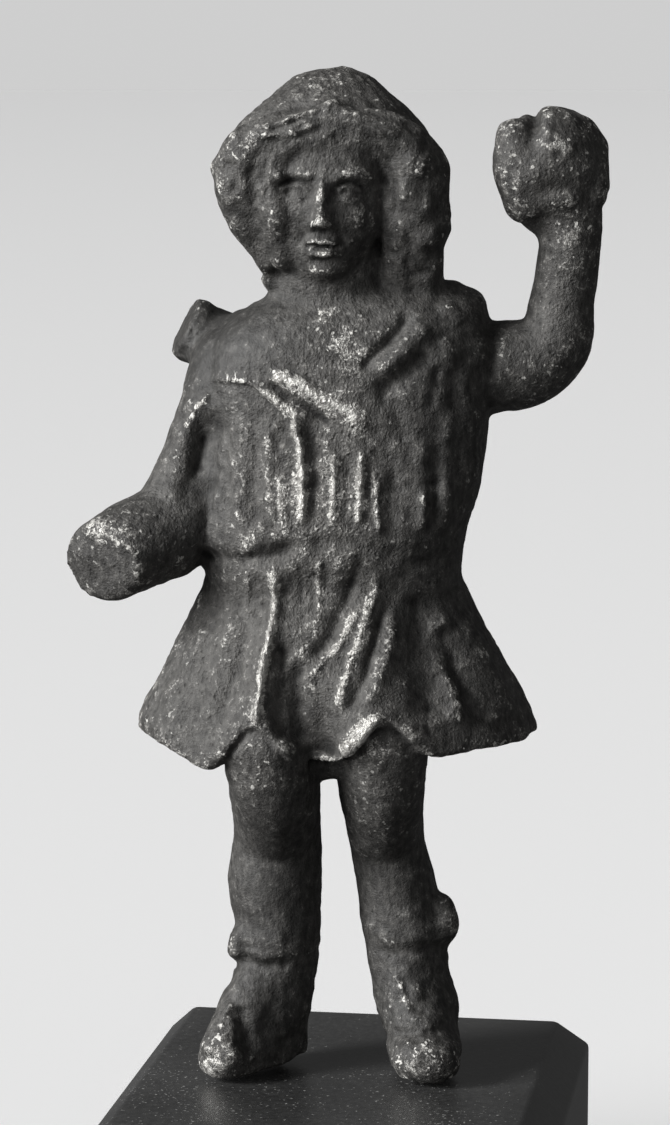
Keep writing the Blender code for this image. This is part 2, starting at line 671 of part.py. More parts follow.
def build_block():
    """Rectangular block with its upper edges cut back at 45 degrees, resting on the ground."""
    wide, deep = 0.5 * BLOCK_WIDTH, 0.5 * BLOCK_DEPTH
    levels = (
        (0.0, 0.0),
        (BLOCK_HEIGHT - BLOCK_CHAMFER, 0.0),
        (BLOCK_HEIGHT, BLOCK_CHAMFER),
    )
    corners = ((1, -1), (1, 1), (-1, 1), (-1, -1))
    points = [(sx * (wide - cut), sy * (deep - cut), z) for z, cut in levels for sx, sy in corners]
    faces = [(3, 2, 1, 0), (8, 9, 10, 11)]
    for level in (0, 4):
        for j in range(4):
            k = (j + 1) % 4
            faces.append((level + j, level + k, level + 4 + k, level + 4 + j))
    mesh = bpy.data.meshes.new("mount_block")
    mesh.from_pydata(points, [], faces)
    mesh.materials.append(block_material())
    block = bpy.data.objects.new("mount_block", mesh)
    bpy.context.collection.objects.link(block)
    return block


def main():
    """Clear the scene and build both pieces."""
    for old in list(bpy.data.objects):
        bpy.data.objects.remove(old)
    build_block()
    build_figure()


main()
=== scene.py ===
"""Looks of a small cast bronze statuette of a huntress, standing on its dark mount block.

The casting is worked out as closed surfaces in hundredths of the figure's height, with X to the
viewer's right, Y away from the viewer and Z up from the soles.  They are fused into one skin,
which then takes its folds, locks, features, casting flaws and wear.
"""

import logging
import math
from dataclasses import dataclass, field, replace
from enum import Enum
from typing import Any, Sequence

import bmesh
import bpy
import numpy as np
from mathutils import Matrix, Vector
from numpy.typing import NDArray


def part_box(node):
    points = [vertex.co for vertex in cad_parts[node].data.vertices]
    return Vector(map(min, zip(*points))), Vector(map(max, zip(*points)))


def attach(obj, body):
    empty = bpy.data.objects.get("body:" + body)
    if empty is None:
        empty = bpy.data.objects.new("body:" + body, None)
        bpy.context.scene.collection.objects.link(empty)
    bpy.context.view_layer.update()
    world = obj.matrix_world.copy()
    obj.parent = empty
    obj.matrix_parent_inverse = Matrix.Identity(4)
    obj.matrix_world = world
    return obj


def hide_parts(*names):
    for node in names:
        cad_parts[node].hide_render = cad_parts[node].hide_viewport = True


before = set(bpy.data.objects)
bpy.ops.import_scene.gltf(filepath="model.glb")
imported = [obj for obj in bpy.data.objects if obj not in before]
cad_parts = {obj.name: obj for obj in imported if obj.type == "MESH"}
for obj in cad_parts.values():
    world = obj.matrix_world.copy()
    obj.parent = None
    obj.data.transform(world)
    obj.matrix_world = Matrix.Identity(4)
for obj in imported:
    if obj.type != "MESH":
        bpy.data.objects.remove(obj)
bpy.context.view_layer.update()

LOG = logging.getLogger("statuette")
FULL_TURN = 2 * math.pi
# Turn of the figure on its block, and how many metres it stands to the left of the block's middle
FIGURE_TURN = math.radians(8.8)
FIGURE_OFFSET = 0.0009
# Distance of the eye that the front of the figure is drawn for, in hundredths of its height
EYE_DISTANCE = 342.0

Array = NDArray[np.float64]
Row = tuple[float, ...]
Rows = tuple[Row, ...]
Line = tuple[tuple[float, float], ...]
Colour = tuple[float, float, float]

# Corner of the lattice that every noise is read from, below and beside the whole figure
LATTICE_CORNER = (-40.0, -30.0, -12.0)


@dataclass(frozen=True)
class Placing:
    """How the figure's own hundredths become places in the frame."""

    height: float = 0.1
    turn: float = FIGURE_TURN
    offset: float = FIGURE_OFFSET
    foot_gap: float = 0.0003

    @property
    def unit(self) -> float:
        """Metres in one hundredth of the figure."""
        return self.height / 100

    def standing(self, block_top: float) -> Matrix:
        """Scale, turn and move of the figure on to the block.

        Args:
            block_top: height of the block's top in metres.

        Returns:
            The matrix that takes hundredths to metres in the frame.
        """
        place = Matrix.Translation((-self.offset, 0.0, block_top + self.foot_gap))
        scale = Matrix.Diagonal((self.unit, self.unit, self.unit, 1.0))
        return place @ Matrix.Rotation(self.turn, 4, "Z") @ scale


def through(rows: Sequence[Sequence[float]], steps: int) -> Array:
    """Smooth curve through rows of numbers: each span is a cubic whose slopes come from its neighbours.

    Args:
        rows: the rows that the curve passes through.
        steps: points in each span.

    Returns:
        The curve's rows, the last row included.
    """
    table = np.asarray(rows, dtype=float)
    before = np.vstack([2 * table[0] - table[1], table[:-1]])[:-1]
    start, end = table[:-1], table[1:]
    after = np.vstack([table[2:], 2 * table[-1] - table[-2]])
    t = np.linspace(0.0, 1.0, steps, endpoint=False)[:, None, None]
    spans = 0.5 * (
        2 * start
        + (end - before) * t
        + (2 * before - 5 * start + 4 * end - after) * t**2
        + (3 * start - before - 3 * end + after) * t**3
    )
    curve = spans.transpose(1, 0, 2).reshape(-1, table.shape[1])
    return np.vstack([curve, table[-1]])


def around(sides: int) -> Array:
    """Angles evenly spaced round a full turn."""
    return np.linspace(0.0, FULL_TURN, sides, endpoint=False)


def eased(values: Array, low: float, high: float) -> Array:
    """Smooth step: 0 below low, 1 above high, and 3s2 - 2s3 of the share s between them."""
    share = np.clip((values - low) / (high - low), 0.0, 1.0)
    return share * share * (3 - 2 * share)


@dataclass(frozen=True)
class Ovals:
    """Upright form over a stack of ovals: height, left, right, front and back of each."""

    rows: Rows
    power: float = 2.3
    steps: int = 6
    sides: int = 72

    def grid(self) -> Array:
        """Superellipses |cos|^(2/p), |sin|^(2/p) stretched to each row's four reaches.

        Returns:
            Rings of points, level by side.
        """
        height, left, right, front, back = through(self.rows, self.steps).T
        angle = around(self.sides)
        across = np.sign(np.cos(angle)) * np.abs(np.cos(angle)) ** (2 / self.power)
        along = np.sign(np.sin(angle)) * np.abs(np.sin(angle)) ** (2 / self.power)
        x = 0.5 * (left + right)[:, None] + 0.5 * (right - left)[:, None] * across
        y = np.where(along < 0, -front[:, None], back[:, None]) * along
        return np.stack([x, y, np.broadcast_to(height[:, None], x.shape)], axis=2)


@dataclass(frozen=True)
class Tube:
    """Form carried along rows of X, Y, Z and radius, with a second radius where it is flat."""

    rows: Rows
    steps: int = 8
    sides: int = 40
    flat_start: bool = False
    flat_end: bool = False
    strands: int = 0
    strand_depth: float = 0.0
    strand_turns: float = 0.0
    swells: float = 0.0
    swell_depth: float = 0.0

    def grid(self) -> Array:
        """Circles r(s, a) = r(s)(1 + swell cos 2 pi n s)(1 + depth cos(k a + 2 pi turns s)) across the path.

        Returns:
            Rings of points, level by side.
        """
        table = through(self.rows, self.steps)
        path, radius = table[:, :3], table[:, 3:]
        if radius.shape[1] == 1:
            radius = np.hstack([radius, radius])
        share = np.linspace(0.0, 1.0, len(path))
        radius = radius * (1 + self.swell_depth * np.cos(FULL_TURN * self.swells * share))[:, None]
        ahead = np.gradient(path, axis=0)
        ahead /= np.linalg.norm(ahead, axis=1)[:, None]
        if not self.flat_start:
            path, radius, ahead, share = rounded(path, radius, ahead, share, 0)
        if not self.flat_end:
            path, radius, ahead, share = rounded(path, radius, ahead, share, -1)
        side, up = untwisted(ahead)
        angle = around(self.sides)
        wave = np.cos(self.strands * angle[None, :] + FULL_TURN * self.strand_turns * share[:, None])
        ribbed = (1 + self.strand_depth * wave)[:, :, None]
        return path[:, None, :] + ribbed * (
            side[:, None, :] * (np.cos(angle)[:, None] * radius[:, None, 0:1])
            + up[:, None, :] * (np.sin(angle)[:, None] * radius[:, None, 1:2])
        )


@dataclass(frozen=True)
class Ball:
    """Rounded lump: X, Y, Z and radius."""

    row: Row
    levels: int = 9
    sides: int = 16

    def grid(self) -> Array:
        """Circles of radius r sin(b) at height r cos(b), for b from near one pole to near the other.

        Returns:
            Rings of points, level by side.
        """
        *centre, radius = self.row
        bend = np.linspace(0.0, math.pi, self.levels + 2)[1:-1, None]
        angle = around(self.sides)[None, :]
        up = np.broadcast_to(-np.cos(bend), (self.levels, self.sides))
        unit = np.stack([np.sin(bend) * np.cos(angle), np.sin(bend) * np.sin(angle), up], axis=2)
        return np.asarray(centre) + radius * unit


Form = Ovals | Tube | Ball


# First and last bend of a dome's rings in degrees, and their number
DOME = (12.0, 86.0, 8)


def rounded(path: Array, radius: Array, ahead: Array, share: Array, end: int) -> tuple[Array, ...]:
    """Add the rings of a dome: at bend b, radius r cos(b) and r sin(b) beyond the end.

    Args:
        path: centre line.
        radius: two radii at each point.
        ahead: direction at each point.
        share: share of the length at each point.
        end: 0 for the first end, -1 for the last.

    Returns:
        The four arrays with the dome's rows added.
    """
    bend = np.radians(np.linspace(*DOME))
    sign = -1.0 if end == 0 else 1.0
    extra = path[end] + sign * ahead[end] * (radius[end].min() * np.sin(bend))[:, None]
    rings = radius[end] * np.cos(bend)[:, None]
    facing = np.repeat(ahead[end][None, :], len(bend), axis=0)
    held = np.repeat(share[end], len(bend))
    pairs = ((path, extra), (radius, rings), (ahead, facing), (share, held))
    if end == 0:
        return tuple(np.concatenate([new[::-1], old]) for old, new in pairs)
    return tuple(np.concatenate([old, new]) for old, new in pairs)


def untwisted(ahead: Array) -> tuple[Array, Array]:
    """Side and up directions along a path: each side is the one before it, made square to the path.

    Args:
        ahead: direction at each point of the path.

    Returns:
        Side directions and up directions.
    """
    side = np.array([1.0, 0.0, 0.0]) if abs(ahead[0][0]) < 0.8 else np.array([0.0, 1.0, 0.0])
    sides = []
    for direction in ahead:
        side = side - direction * np.dot(side, direction)
        side = side / np.linalg.norm(side)
        sides.append(side)
    return np.asarray(sides), np.cross(ahead, np.asarray(sides))


class Cut(Enum):
    """Cross-section of a stroke."""

    RIDGE = "ridge"
    GROOVE = "groove"
    LAP = "lap"


# How far a stroke reaches, in half widths, across the line
LINE_REACH = 2.6
LAP_REACH = 5.0
# Steepness of a lap's step, how far behind it the cloth sinks back, and its foot: depth, place, half width
LAP_STEEPNESS = 2.4
LAP_FALL = 2.6
LAP_FOOT = (0.45, 0.75, 0.7)


@dataclass(frozen=True)
class Stroke:
    """One line of relief on a sheet: its cross-section, half width, height and points."""

    cut: Cut
    width: float
    height: float
    line: Line
    taper: float = 0.14

    def relief(self, flat: Array) -> Array:
        """Relief at each point, from its distance d to the line and the stroke's half width w.

        A ridge is exp(-(d/w)2) and a groove is its negative.  A lap is a step, tanh across the
        line, which is raised on the left of the line's direction and sinks back behind it.
        Each fades at its ends over the taper's share of the length.

        Args:
            flat: points on the sheet.

        Returns:
            Height of the stroke at each point.
        """
        line = through(self.line, 4) if len(self.line) > 2 else np.asarray(self.line, dtype=float)
        reach = (LAP_REACH if self.cut is Cut.LAP else LINE_REACH) * self.width
        near = np.all((flat > line.min(axis=0) - reach) & (flat < line.max(axis=0) + reach), axis=1)
        spot = flat[near]
        relief = np.zeros(len(flat))
        if not len(spot):
            return relief
        lengths = np.linalg.norm(np.diff(line, axis=0), axis=1)
        ran = np.concatenate([[0.0], np.cumsum(lengths)])
        gap = np.full(len(spot), np.inf)
        signed = np.zeros(len(spot))
        place = np.zeros(len(spot))
        for start, end, length, before in zip(line[:-1], line[1:], lengths, ran):
            run = (end - start) / length
            along = np.clip((spot - start) @ run, 0.0, length)
            off = spot - start - along[:, None] * run
            far = np.linalg.norm(off, axis=1)
            closer = far < gap
            gap = np.where(closer, far, gap)
            side = run[0] * off[:, 1] - run[1] * off[:, 0]
            signed = np.where(closer, side, signed)
            place = np.where(closer, (before + along) / ran[-1], place)
        ends = eased(place, -0.02, self.taper) * (1 - eased(place, 1 - self.taper, 1.02))
        if self.cut is Cut.LAP:
            depth, place_below, wide = LAP_FOOT
            step = 0.5 * (1 + np.tanh(LAP_STEEPNESS * signed / self.width))
            fall = np.exp(-((np.maximum(signed, 0.0) / (LAP_FALL * self.width)) ** 2))
            foot = depth * np.exp(-(((signed + place_below * self.width) / (wide * self.width)) ** 2))
            profile = (step * fall - foot) * (gap < reach)
        else:
            profile = np.exp(-((gap / self.width) ** 2)) * (-1.0 if self.cut is Cut.GROOVE else 1.0)
        relief[near] = self.height * ends * profile
        return relief


Strokes = tuple[Stroke, ...]


def ridges(*rows: tuple[float, float, Line]) -> Strokes:
    """Ridges from rows of half width, height and line."""
    return tuple(Stroke(Cut.RIDGE, *row) for row in rows)


def grooves(*rows: tuple[Any, ...]) -> Strokes:
    """Grooves from rows of half width, depth and line, with a taper where it is not the usual one."""
    return tuple(Stroke(Cut.GROOVE, *row) for row in rows)


def laps(*rows: tuple[float, float, Line]) -> Strokes:
    """Cloth edges from rows of half width, height and line, raised on the line's left."""
    return tuple(Stroke(Cut.LAP, *row) for row in rows)


def mounds(flat: Array, rows: Rows) -> Array:
    """Sum of smooth mounds h exp(-(x/a)2 - (z/b)2), each from a row of x, z, a, b and h.

    Args:
        flat: points on the sheet.
        rows: place, half width, half height and relief of each mound.

    Returns:
        Height at each point.
    """
    relief = np.zeros(len(flat))
    for across, up, wide, high, height in rows:
        spread = ((flat[:, 0] - across) / wide) ** 2 + ((flat[:, 1] - up) / high) ** 2
        relief += height * np.exp(-spread)
    return relief


@dataclass(frozen=True)
class Lumps:
    """Smooth noise: random numbers on a cubic lattice, blended by smooth-step weights between them."""

    cell: float
    seed: int

    def at(self, points: Array) -> Array:
        """Noise at each point, from -1 to 1.

        Args:
            points: places to read it.

        Returns:
            One value for each place.
        """
        scaled = (points - np.asarray(LATTICE_CORNER)) / self.cell
        base = np.floor(scaled).astype(int)
        rest = scaled - base
        weight = rest * rest * (3 - 2 * rest)
        table = np.random.default_rng(self.seed).uniform(-1.0, 1.0, base.max(axis=0) + 2)
        total = np.zeros(len(points))
        for corner in np.ndindex(2, 2, 2):
            share = np.prod(np.where(corner, weight, 1 - weight), axis=1)
            total += share * table[tuple((base + corner).T)]
        return total


def layered(points: Array, rows: Rows, level: float = 0.0) -> Array:
    """A level plus layers of noise.

    Args:
        points: places to read it.
        rows: cell of the lattice, height and seed of each layer.
        level: value that the layers are added to.

    Returns:
        One value for each place.
    """
    total = np.full(len(points), level)
    for cell, height, seed in rows:
        total += height * Lumps(cell, int(seed)).at(points)
    return total


@dataclass(frozen=True)
class Sight:
    """The viewer's eye, which front strokes are drawn for: before the figure, level with its hair."""

    distance: float = EYE_DISTANCE
    height: float = 98.4
    lift: float = 0.136
    sharpness: float = 1.6

    def flat(self, points: Array) -> Array:
        """Place on the middle sheet: x / s and h + (z - h) / s, where s = 1 + y / distance."""
        scale = 1 + points[:, 1] / self.distance
        return np.stack([points[:, 0] / scale, self.height + (points[:, 2] - self.height) / scale], axis=1)

    def facing(self, normals: Array) -> Array:
        """How far the skin faces the eye, from 0 to 1."""
        return np.clip(self.sharpness * (self.lift * normals[:, 2] - normals[:, 1]), 0.0, 1.0)

    def hidden(self, normals: Array) -> Array:
        """How far the skin faces straight away from the eye, from 0 to 1."""
        return np.clip(self.sharpness * normals[:, 1], 0.0, 1.0)


class Skin:
    """The casting's skin while it is carved: points and normals as whole arrays."""

    def __init__(self, mesh: bpy.types.Mesh) -> None:
        """Take the skin from a mesh.

        Args:
            mesh: closed mesh of the fused forms.
        """
        self.mesh = mesh
        self.count = len(mesh.vertices)
        self.points = np.empty((self.count, 3))
        self.normals = np.empty((self.count, 3))
        self.read()

    def read(self) -> None:
        """Read points and normals from the mesh."""
        flat = np.empty(3 * self.count)
        self.mesh.vertices.foreach_get("co", flat)
        self.points = flat.reshape(-1, 3).copy()
        self.mesh.vertices.foreach_get("normal", flat)
        self.normals = flat.reshape(-1, 3).copy()

    def push(self, move: Array) -> None:
        """Move each point along its normal, and read the new normals.

        Args:
            move: distance of each point.
        """
        self.points = self.points + self.normals * move[:, None]
        self.write()

    def write(self) -> None:
        """Put the points into the mesh and read the normals that they give."""
        self.mesh.vertices.foreach_set("co", self.points.ravel())
        self.mesh.update()
        self.read()

    def relax(self, values: Array, rounds: int) -> Array:
        """Blur values over the skin: each becomes half itself and half the mean of its neighbours.

        Args:
            values: one row for each point.
            rounds: times to repeat it.

        Returns:
            The blurred rows.
        """
        one, other = edge_ends(self.mesh)
        ends, starts = np.concatenate([one, other]), np.concatenate([other, one])
        links = np.maximum(np.bincount(ends, minlength=self.count), 1)
        for _ in range(rounds):
            sums = [np.bincount(ends, weights=column[starts], minlength=self.count) for column in values.T]
            values = 0.5 * values + 0.5 * np.stack(sums, axis=1) / links[:, None]
        return values


# Lines on the front sheet that are used more than once
CLOAK: Line = ((-12.2, 69.3), (-8.4, 69.0), (-7.2, 68.0), (-5.1, 66.3), (-3.6, 65.1))
BAND: Line = ((-6.4, 70.2), (-4.4, 69.1), (-1.6, 67.8), (1.1, 66.4), (3.3, 64.8))
MAIN_FOLD: Line = ((-4.0, 66.2), (-3.4, 61.8), (-3.2, 57.7), (-3.4, 54.8))
LEFT_EDGE: Line = ((-14.0, 53.2), (-10.3, 52.2), (-6.9, 52.7), (-3.4, 54.0))
RIGHT_EDGE: Line = ((-3.8, 53.9), (0.4, 54.3), (4.2, 53.4), (8.0, 52.3), (12.6, 51.9))
CREST: Line = ((-6.1, 51.0), (-5.8, 46.2), (-7.1, 40.4), (-8.0, 34.4))
HEM_ROLL: Line = ((0.2, 31.8), (2.3, 33.8), (4.8, 35.6))
SLEEVE_EDGE: Line = ((-12.4, 68.2), (-13.6, 66.2), (-14.8, 64.2))
RIGHT_SEAM: Line = ((-10.3, 6.6), (-11.1, 5.3), (-11.6, 4.0))
LEFT_SEAM: Line = ((5.7, 9.8), (6.9, 7.6), (7.5, 5.4))
# Edge of the upper lip, on the face's own sheet
UPPER_LIP: Line = (
    (-1.5, -5.2), (-0.8, -4.86), (-0.28, -4.76), (0.0, -4.86), (0.28, -4.76), (0.8, -4.86), (1.5, -5.2),
)
# The turn of hair in the knot at the nape, on the back sheet
COIL: Line = ((-2.6, 82.2), (-0.4, 81.0), (2.0, 82.4), (1.6, 85.0), (-0.8, 85.4), (-1.4, 83.6), (0.2, 83.2))


@dataclass(frozen=True)
class Torso:
    """Body under the tunic's overfold, with the baldric and the cloth laid over the shoulders."""

    outline: Rows = (
        (47.0, -12.0, 11.8, -7.0, 6.6), (50.0, -12.7, 12.3, -7.6, 7.2), (52.5, -13.5, 12.6, -8.4, 7.7),
        (55.0, -14.0, 13.0, -8.7, 7.9), (58.0, -13.6, 14.1, -8.4, 7.6), (62.0, -13.1, 14.8, -8.0, 7.3),
        (66.5, -12.6, 15.1, -7.8, 7.3), (71.0, -12.6, 15.2, -7.7, 7.3), (73.8, -11.6, 15.2, -7.0, 6.8),
        (75.8, -9.4, 15.0, -6.0, 6.0), (77.6, -6.6, 14.4, -4.6, 4.8), (79.0, -5.0, 12.0, -3.0, 3.6),
    )
    neck: Rows = (
        (-0.3, 0.6, 74.0, 7.0, 5.6), (-0.3, 0.4, 77.5, 6.3, 5.4), (-0.3, 0.2, 81.0, 6.0, 5.6),
        (-0.2, 0.2, 84.5, 5.8, 5.6),
    )
    # Overfold, baldric, neckline and shoulder folds as the viewer sees them
    front: Strokes = (
        *laps(
            (0.38, 0.26, CLOAK), (0.48, 0.26, ((-5.4, 68.2), (-2.7, 66.6), (0.4, 64.9), (3.4, 63.3))),
            (0.8, 0.24, LEFT_EDGE),
        ),
        *ridges(
            (0.95, 0.72, BAND), (0.28, 0.34, CLOAK), (0.3, 0.75, MAIN_FOLD), (0.95, 0.4, MAIN_FOLD),
            (0.27, 0.5, ((-0.1, 62.4), (-0.2, 54.6))), (0.27, 0.52, ((2.6, 62.6), (2.4, 54.6))),
            (0.27, 0.48, ((4.0, 59.4), (4.2, 54.0))), (0.27, 0.42, ((-5.5, 60.0), (-5.2, 54.6))),
            (0.7, 0.34, ((-6.6, 65.0), (-6.4, 54.8))), (0.8, 0.4, ((-9.4, 65.6), (-9.3, 54.4))),
            (0.6, 0.24, ((-11.2, 65.0), (-11.5, 56.0))),
            (1.05, 0.8, ((9.2, 75.0), (6.9, 72.2), (4.4, 69.6))), (0.8, 0.5, ((8.4, 63.5), (8.5, 54.8))),
            (0.4, 0.55, ((8.6, 58.6), (8.4, 54.0))), (0.8, 0.6, ((11.2, 66.0), (10.6, 54.0))),
            (0.9, 0.35, ((13.4, 68.5), (13.0, 58.0))), (0.8, 0.45, ((10.8, 76.8), (12.6, 74.6))),
            (0.8, 0.42, ((14.2, 73.6), (14.6, 70.6))), (0.7, 0.35, ((10.6, 73.4), (12.2, 70.4))),
        ),
        *grooves(
            (0.46, 0.8, ((-6.8, 69.0), (-4.4, 67.3), (-2.4, 66.0), (-0.3, 64.6))),
            (0.3, 0.24, ((-6.4, 71.2), (-3.4, 70.0), (-0.6, 68.0), (3.4, 65.4))),
            (0.72, 0.62, ((-2.5, 66.2), (-2.2, 61.8), (-2.2, 57.7), (-2.5, 54.6))),
            (0.62, 0.85, ((7.7, 76.0), (5.5, 73.4), (3.9, 71.7), (2.4, 70.2))),
            (0.95, 0.85, ((9.4, 72.4), (6.9, 70.0), (5.3, 68.2), (4.4, 66.8))),
            (0.6, 0.4, ((10.3, 71.0), (9.4, 66.2))), (0.55, 0.4, ((12.1, 71.8), (11.5, 66.2))),
            (0.6, 0.45, ((6.1, 67.6), (6.6, 63.2))), (0.75, 0.5, ((5.6, 62.5), (5.5, 56.5), (5.3, 53.0))),
            (0.5, 0.3, ((5.4, 57.6), (6.8, 58.8), (11.0, 59.4))), (0.5, 0.35, ((10.0, 63.0), (9.7, 54.5))),
            (0.28, 0.28, ((1.2, 62.0), (1.2, 55.0))), (0.28, 0.26, ((3.4, 61.0), (3.4, 55.0))),
            (0.28, 0.26, ((-4.4, 62.0), (-4.4, 55.4))), (0.5, 0.32, ((-8.0, 65.6), (-8.0, 55.0))),
            (0.4, 0.26, ((-10.5, 64.6), (-10.6, 56.0))),
            (0.5, 0.5, ((14.5, 77.2), (15.3, 74.4), (15.5, 68.7))),
            (0.9, 0.95, tuple((x, z - 1.1) for x, z in LEFT_EDGE)),
            (0.8, 0.55, tuple((x, z - 1.0) for x, z in RIGHT_EDGE)),
            (1.55, 2.5, ((-12.4, 66.6), (-12.9, 64.3), (-13.3, 61.3), (-13.8, 58.6), (-14.2, 56.2)), 0.3),
        ),
    )
    # Plainer folds of the back, under the baldric that carries the quiver
    back: Strokes = (
        *laps(
            (0.6, 0.6, ((12.8, 52.4), (4.0, 53.3), (-4.0, 53.3), (-13.2, 53.5))),
            (0.6, 0.55, ((-12.6, 70.6), (-4.0, 73.2), (4.0, 73.6), (13.0, 72.0))),
        ),
        *ridges(
            (1.15, 0.85, ((12.8, 76.4), (8.0, 71.0), (-1.0, 62.0), (-9.8, 54.8))),
            (0.9, 0.5, ((-13.0, 54.0), (-4.0, 53.8), (4.0, 53.8), (12.4, 52.9))),
            (0.7, 0.6, ((-1.6, 59.2), (-1.8, 53.6))), (0.65, 0.55, ((3.6, 63.0), (3.4, 54.0))),
            (0.65, 0.5, ((9.8, 70.0), (9.4, 53.8))), (0.65, 0.5, ((-7.4, 62.0), (-7.6, 54.2))),
            (0.65, 0.5, ((-11.4, 66.0), (-11.6, 55.4))),
        ),
        *grooves(
            (0.62, 1.2, ((-13.0, 52.0), (-4.0, 51.8), (4.0, 51.8), (12.6, 50.9))),
            (0.6, 0.8, ((-9.2, 62.0), (-9.5, 54.4))), (0.6, 0.75, ((-5.5, 60.0), (-5.8, 54.0))),
            (0.6, 0.7, ((1.3, 60.6), (1.4, 53.8))), (0.6, 0.7, ((6.0, 65.0), (5.6, 53.8))),
            (0.62, 0.75, ((8.2, 68.4), (7.8, 53.8))), (0.62, 0.75, ((11.6, 68.0), (11.2, 53.8))),
            (0.35, 0.45, ((11.4, 77.2), (6.6, 72.2), (-2.4, 63.2), (-10.6, 56.4))),
            (0.35, 0.45, ((13.2, 75.0), (9.4, 69.8), (0.4, 60.8), (-8.6, 53.6))),
        ),
    )

    def forms(self) -> list[Form]:
        """Closed surfaces of the body and the neck."""
        return [Ovals(self.outline, power=2.6), Tube(self.neck)]


@dataclass(frozen=True)
class Skirt:
    """Flared skirt of the tunic: share of the drop, left, right, front and back of each level."""

    top: float = 51.0
    levels: Rows = (
        (0.0, -12.6, 12.2, -7.4, 6.9), (0.12, -13.0, 12.8, -7.8, 7.4), (0.4, -15.2, 15.2, -8.9, 8.7),
        (0.7, -17.6, 17.8, -10.2, 10.0), (0.92, -19.3, 19.5, -11.0, 10.8), (1.0, -19.6, 19.9, -11.2, 11.0),
    )
    # Angle round the body in degrees, from the viewer's right, front first, and height of the hem
    hem: Line = (
        (0.0, 34.7), (12.0, 34.2), (34.0, 34.3), (47.0, 34.0), (60.0, 33.6), (66.0, 34.4), (72.0, 36.4),
        (77.0, 37.7), (82.0, 36.0), (88.0, 33.2), (92.0, 32.8), (96.0, 33.6), (102.0, 33.6), (108.0, 36.0),
        (115.0, 37.6), (120.0, 35.8), (125.0, 33.0), (131.0, 31.9), (150.0, 34.1), (180.0, 35.2),
        (230.0, 33.4), (270.0, 32.6), (310.0, 33.2), (360.0, 34.7),
    )
    # Share of the rim's reach and drop below it, where the hem rolls under
    rolled_hem: Rows = ((0.985, 0.25), (0.95, 0.42), (0.91, 0.35))
    wall: float = 0.86
    recess: float = 2.6
    wall_drop: float = 0.6
    deep_wall: float = 0.94
    # Pleats: number, depth, and their strength round the body, which is least at the front
    folds: int = 17
    fold_depth: float = 0.045
    fold_side: float = 0.4
    fold_least: float = 0.15
    hem_blur: int = 3
    # Where the cloth is tucked back between the thighs: angle, half width in degrees, and share
    tuck: Row = (97.0, 8.0, 0.2)
    sides: int = 240
    # Folds of the skirt as the viewer sees them
    front: Strokes = (
        *ridges(
            (0.32, 0.75, CREST), (1.1, 0.6, CREST),
            (0.55, 0.6, ((4.5, 51.0), (2.7, 44.6), (1.1, 40.0), (0.0, 35.8))),
            (0.6, 0.48, ((6.0, 46.0), (5.2, 41.3), (2.9, 36.8))),
            (0.9, 0.62, ((10.3, 46.4), (11.3, 40.4), (12.2, 34.2))),
            (1.2, 0.75, ((12.6, 45.6), (15.2, 40.0), (17.0, 35.4))), (0.8, 0.6, HEM_ROLL),
            (0.9, 0.5, ((-9.6, 46.5), (-11.4, 40.0), (-13.2, 34.4))),
            (1.0, 0.5, ((-12.6, 44.6), (-15.2, 39.0), (-17.0, 35.8))),
            (0.6, 0.38, ((-2.6, 41.0), (-2.4, 36.0), (-2.2, 31.4))),
            (0.34, 0.48, ((2.3, 46.6), (0.4, 43.2), (-2.0, 40.6), (-3.2, 39.6))),
            (0.26, 0.36, ((-1.6, 51.6), (-1.8, 46.2))), (0.26, 0.3, ((-8.4, 50.6), (-8.8, 46.4))),
            (0.26, 0.3, ((12.2, 39.0), (12.4, 34.8))),
            (0.6, 0.32, ((0.6, 51.8), (-0.6, 48.0), (-2.2, 44.6))),
        ),
        *grooves(
            (0.66, 0.88, ((2.8, 52.2), (1.5, 48.3), (-0.6, 43.9), (-2.7, 41.2))),
            (0.5, 0.78, ((5.5, 48.2), (3.9, 42.9), (2.7, 39.2), (1.0, 36.0))),
            (1.2, 1.05, ((-5.2, 43.6), (-5.4, 37.1), (-5.0, 32.5))),
            (1.6, 1.15, ((8.0, 48.4), (8.5, 41.3), (9.2, 35.0))),
            (0.9, 1.1, ((10.3, 45.0), (12.4, 39.4), (14.8, 34.8))),
            (0.42, 0.5, ((-8.4, 44.6), (-10.0, 40.0), (-11.6, 35.2))),
            (0.5, 0.42, ((-11.2, 46.0), (-13.7, 41.3), (-16.0, 36.4))),
            (0.28, 0.22, ((-3.4, 51.0), (-3.2, 46.5))), (0.28, 0.18, ((-9.2, 50.0), (-9.6, 45.6))),
            (0.9, 1.0, ((-3.6, 41.4), (-3.7, 37.0), (-2.8, 32.6))),
        ),
        *laps(
            (0.46, 0.5, ((-11.5, 30.9), (-10.5, 32.5), (-8.4, 34.4), (-6.3, 33.3), (-3.9, 30.4))),
            (0.46, 0.5, ((0.9, 30.9), (1.9, 32.1), (4.6, 35.4), (6.4, 34.2), (8.5, 32.1))),
        ),
    )
    # Shallow creases between the pleats of the back
    back: Strokes = grooves(
        (0.6, 0.5, ((-9.4, 50.4), (-12.2, 42.0), (-13.8, 36.0))),
        (0.6, 0.5, ((-4.2, 50.6), (-5.4, 42.0), (-6.0, 34.8))),
        (0.6, 0.5, ((0.4, 50.6), (0.6, 42.0), (0.6, 34.2))),
        (0.6, 0.5, ((5.0, 50.4), (6.4, 42.0), (7.2, 34.6))),
        (0.6, 0.5, ((9.4, 50.0), (12.4, 42.0), (14.0, 35.6))),
    )

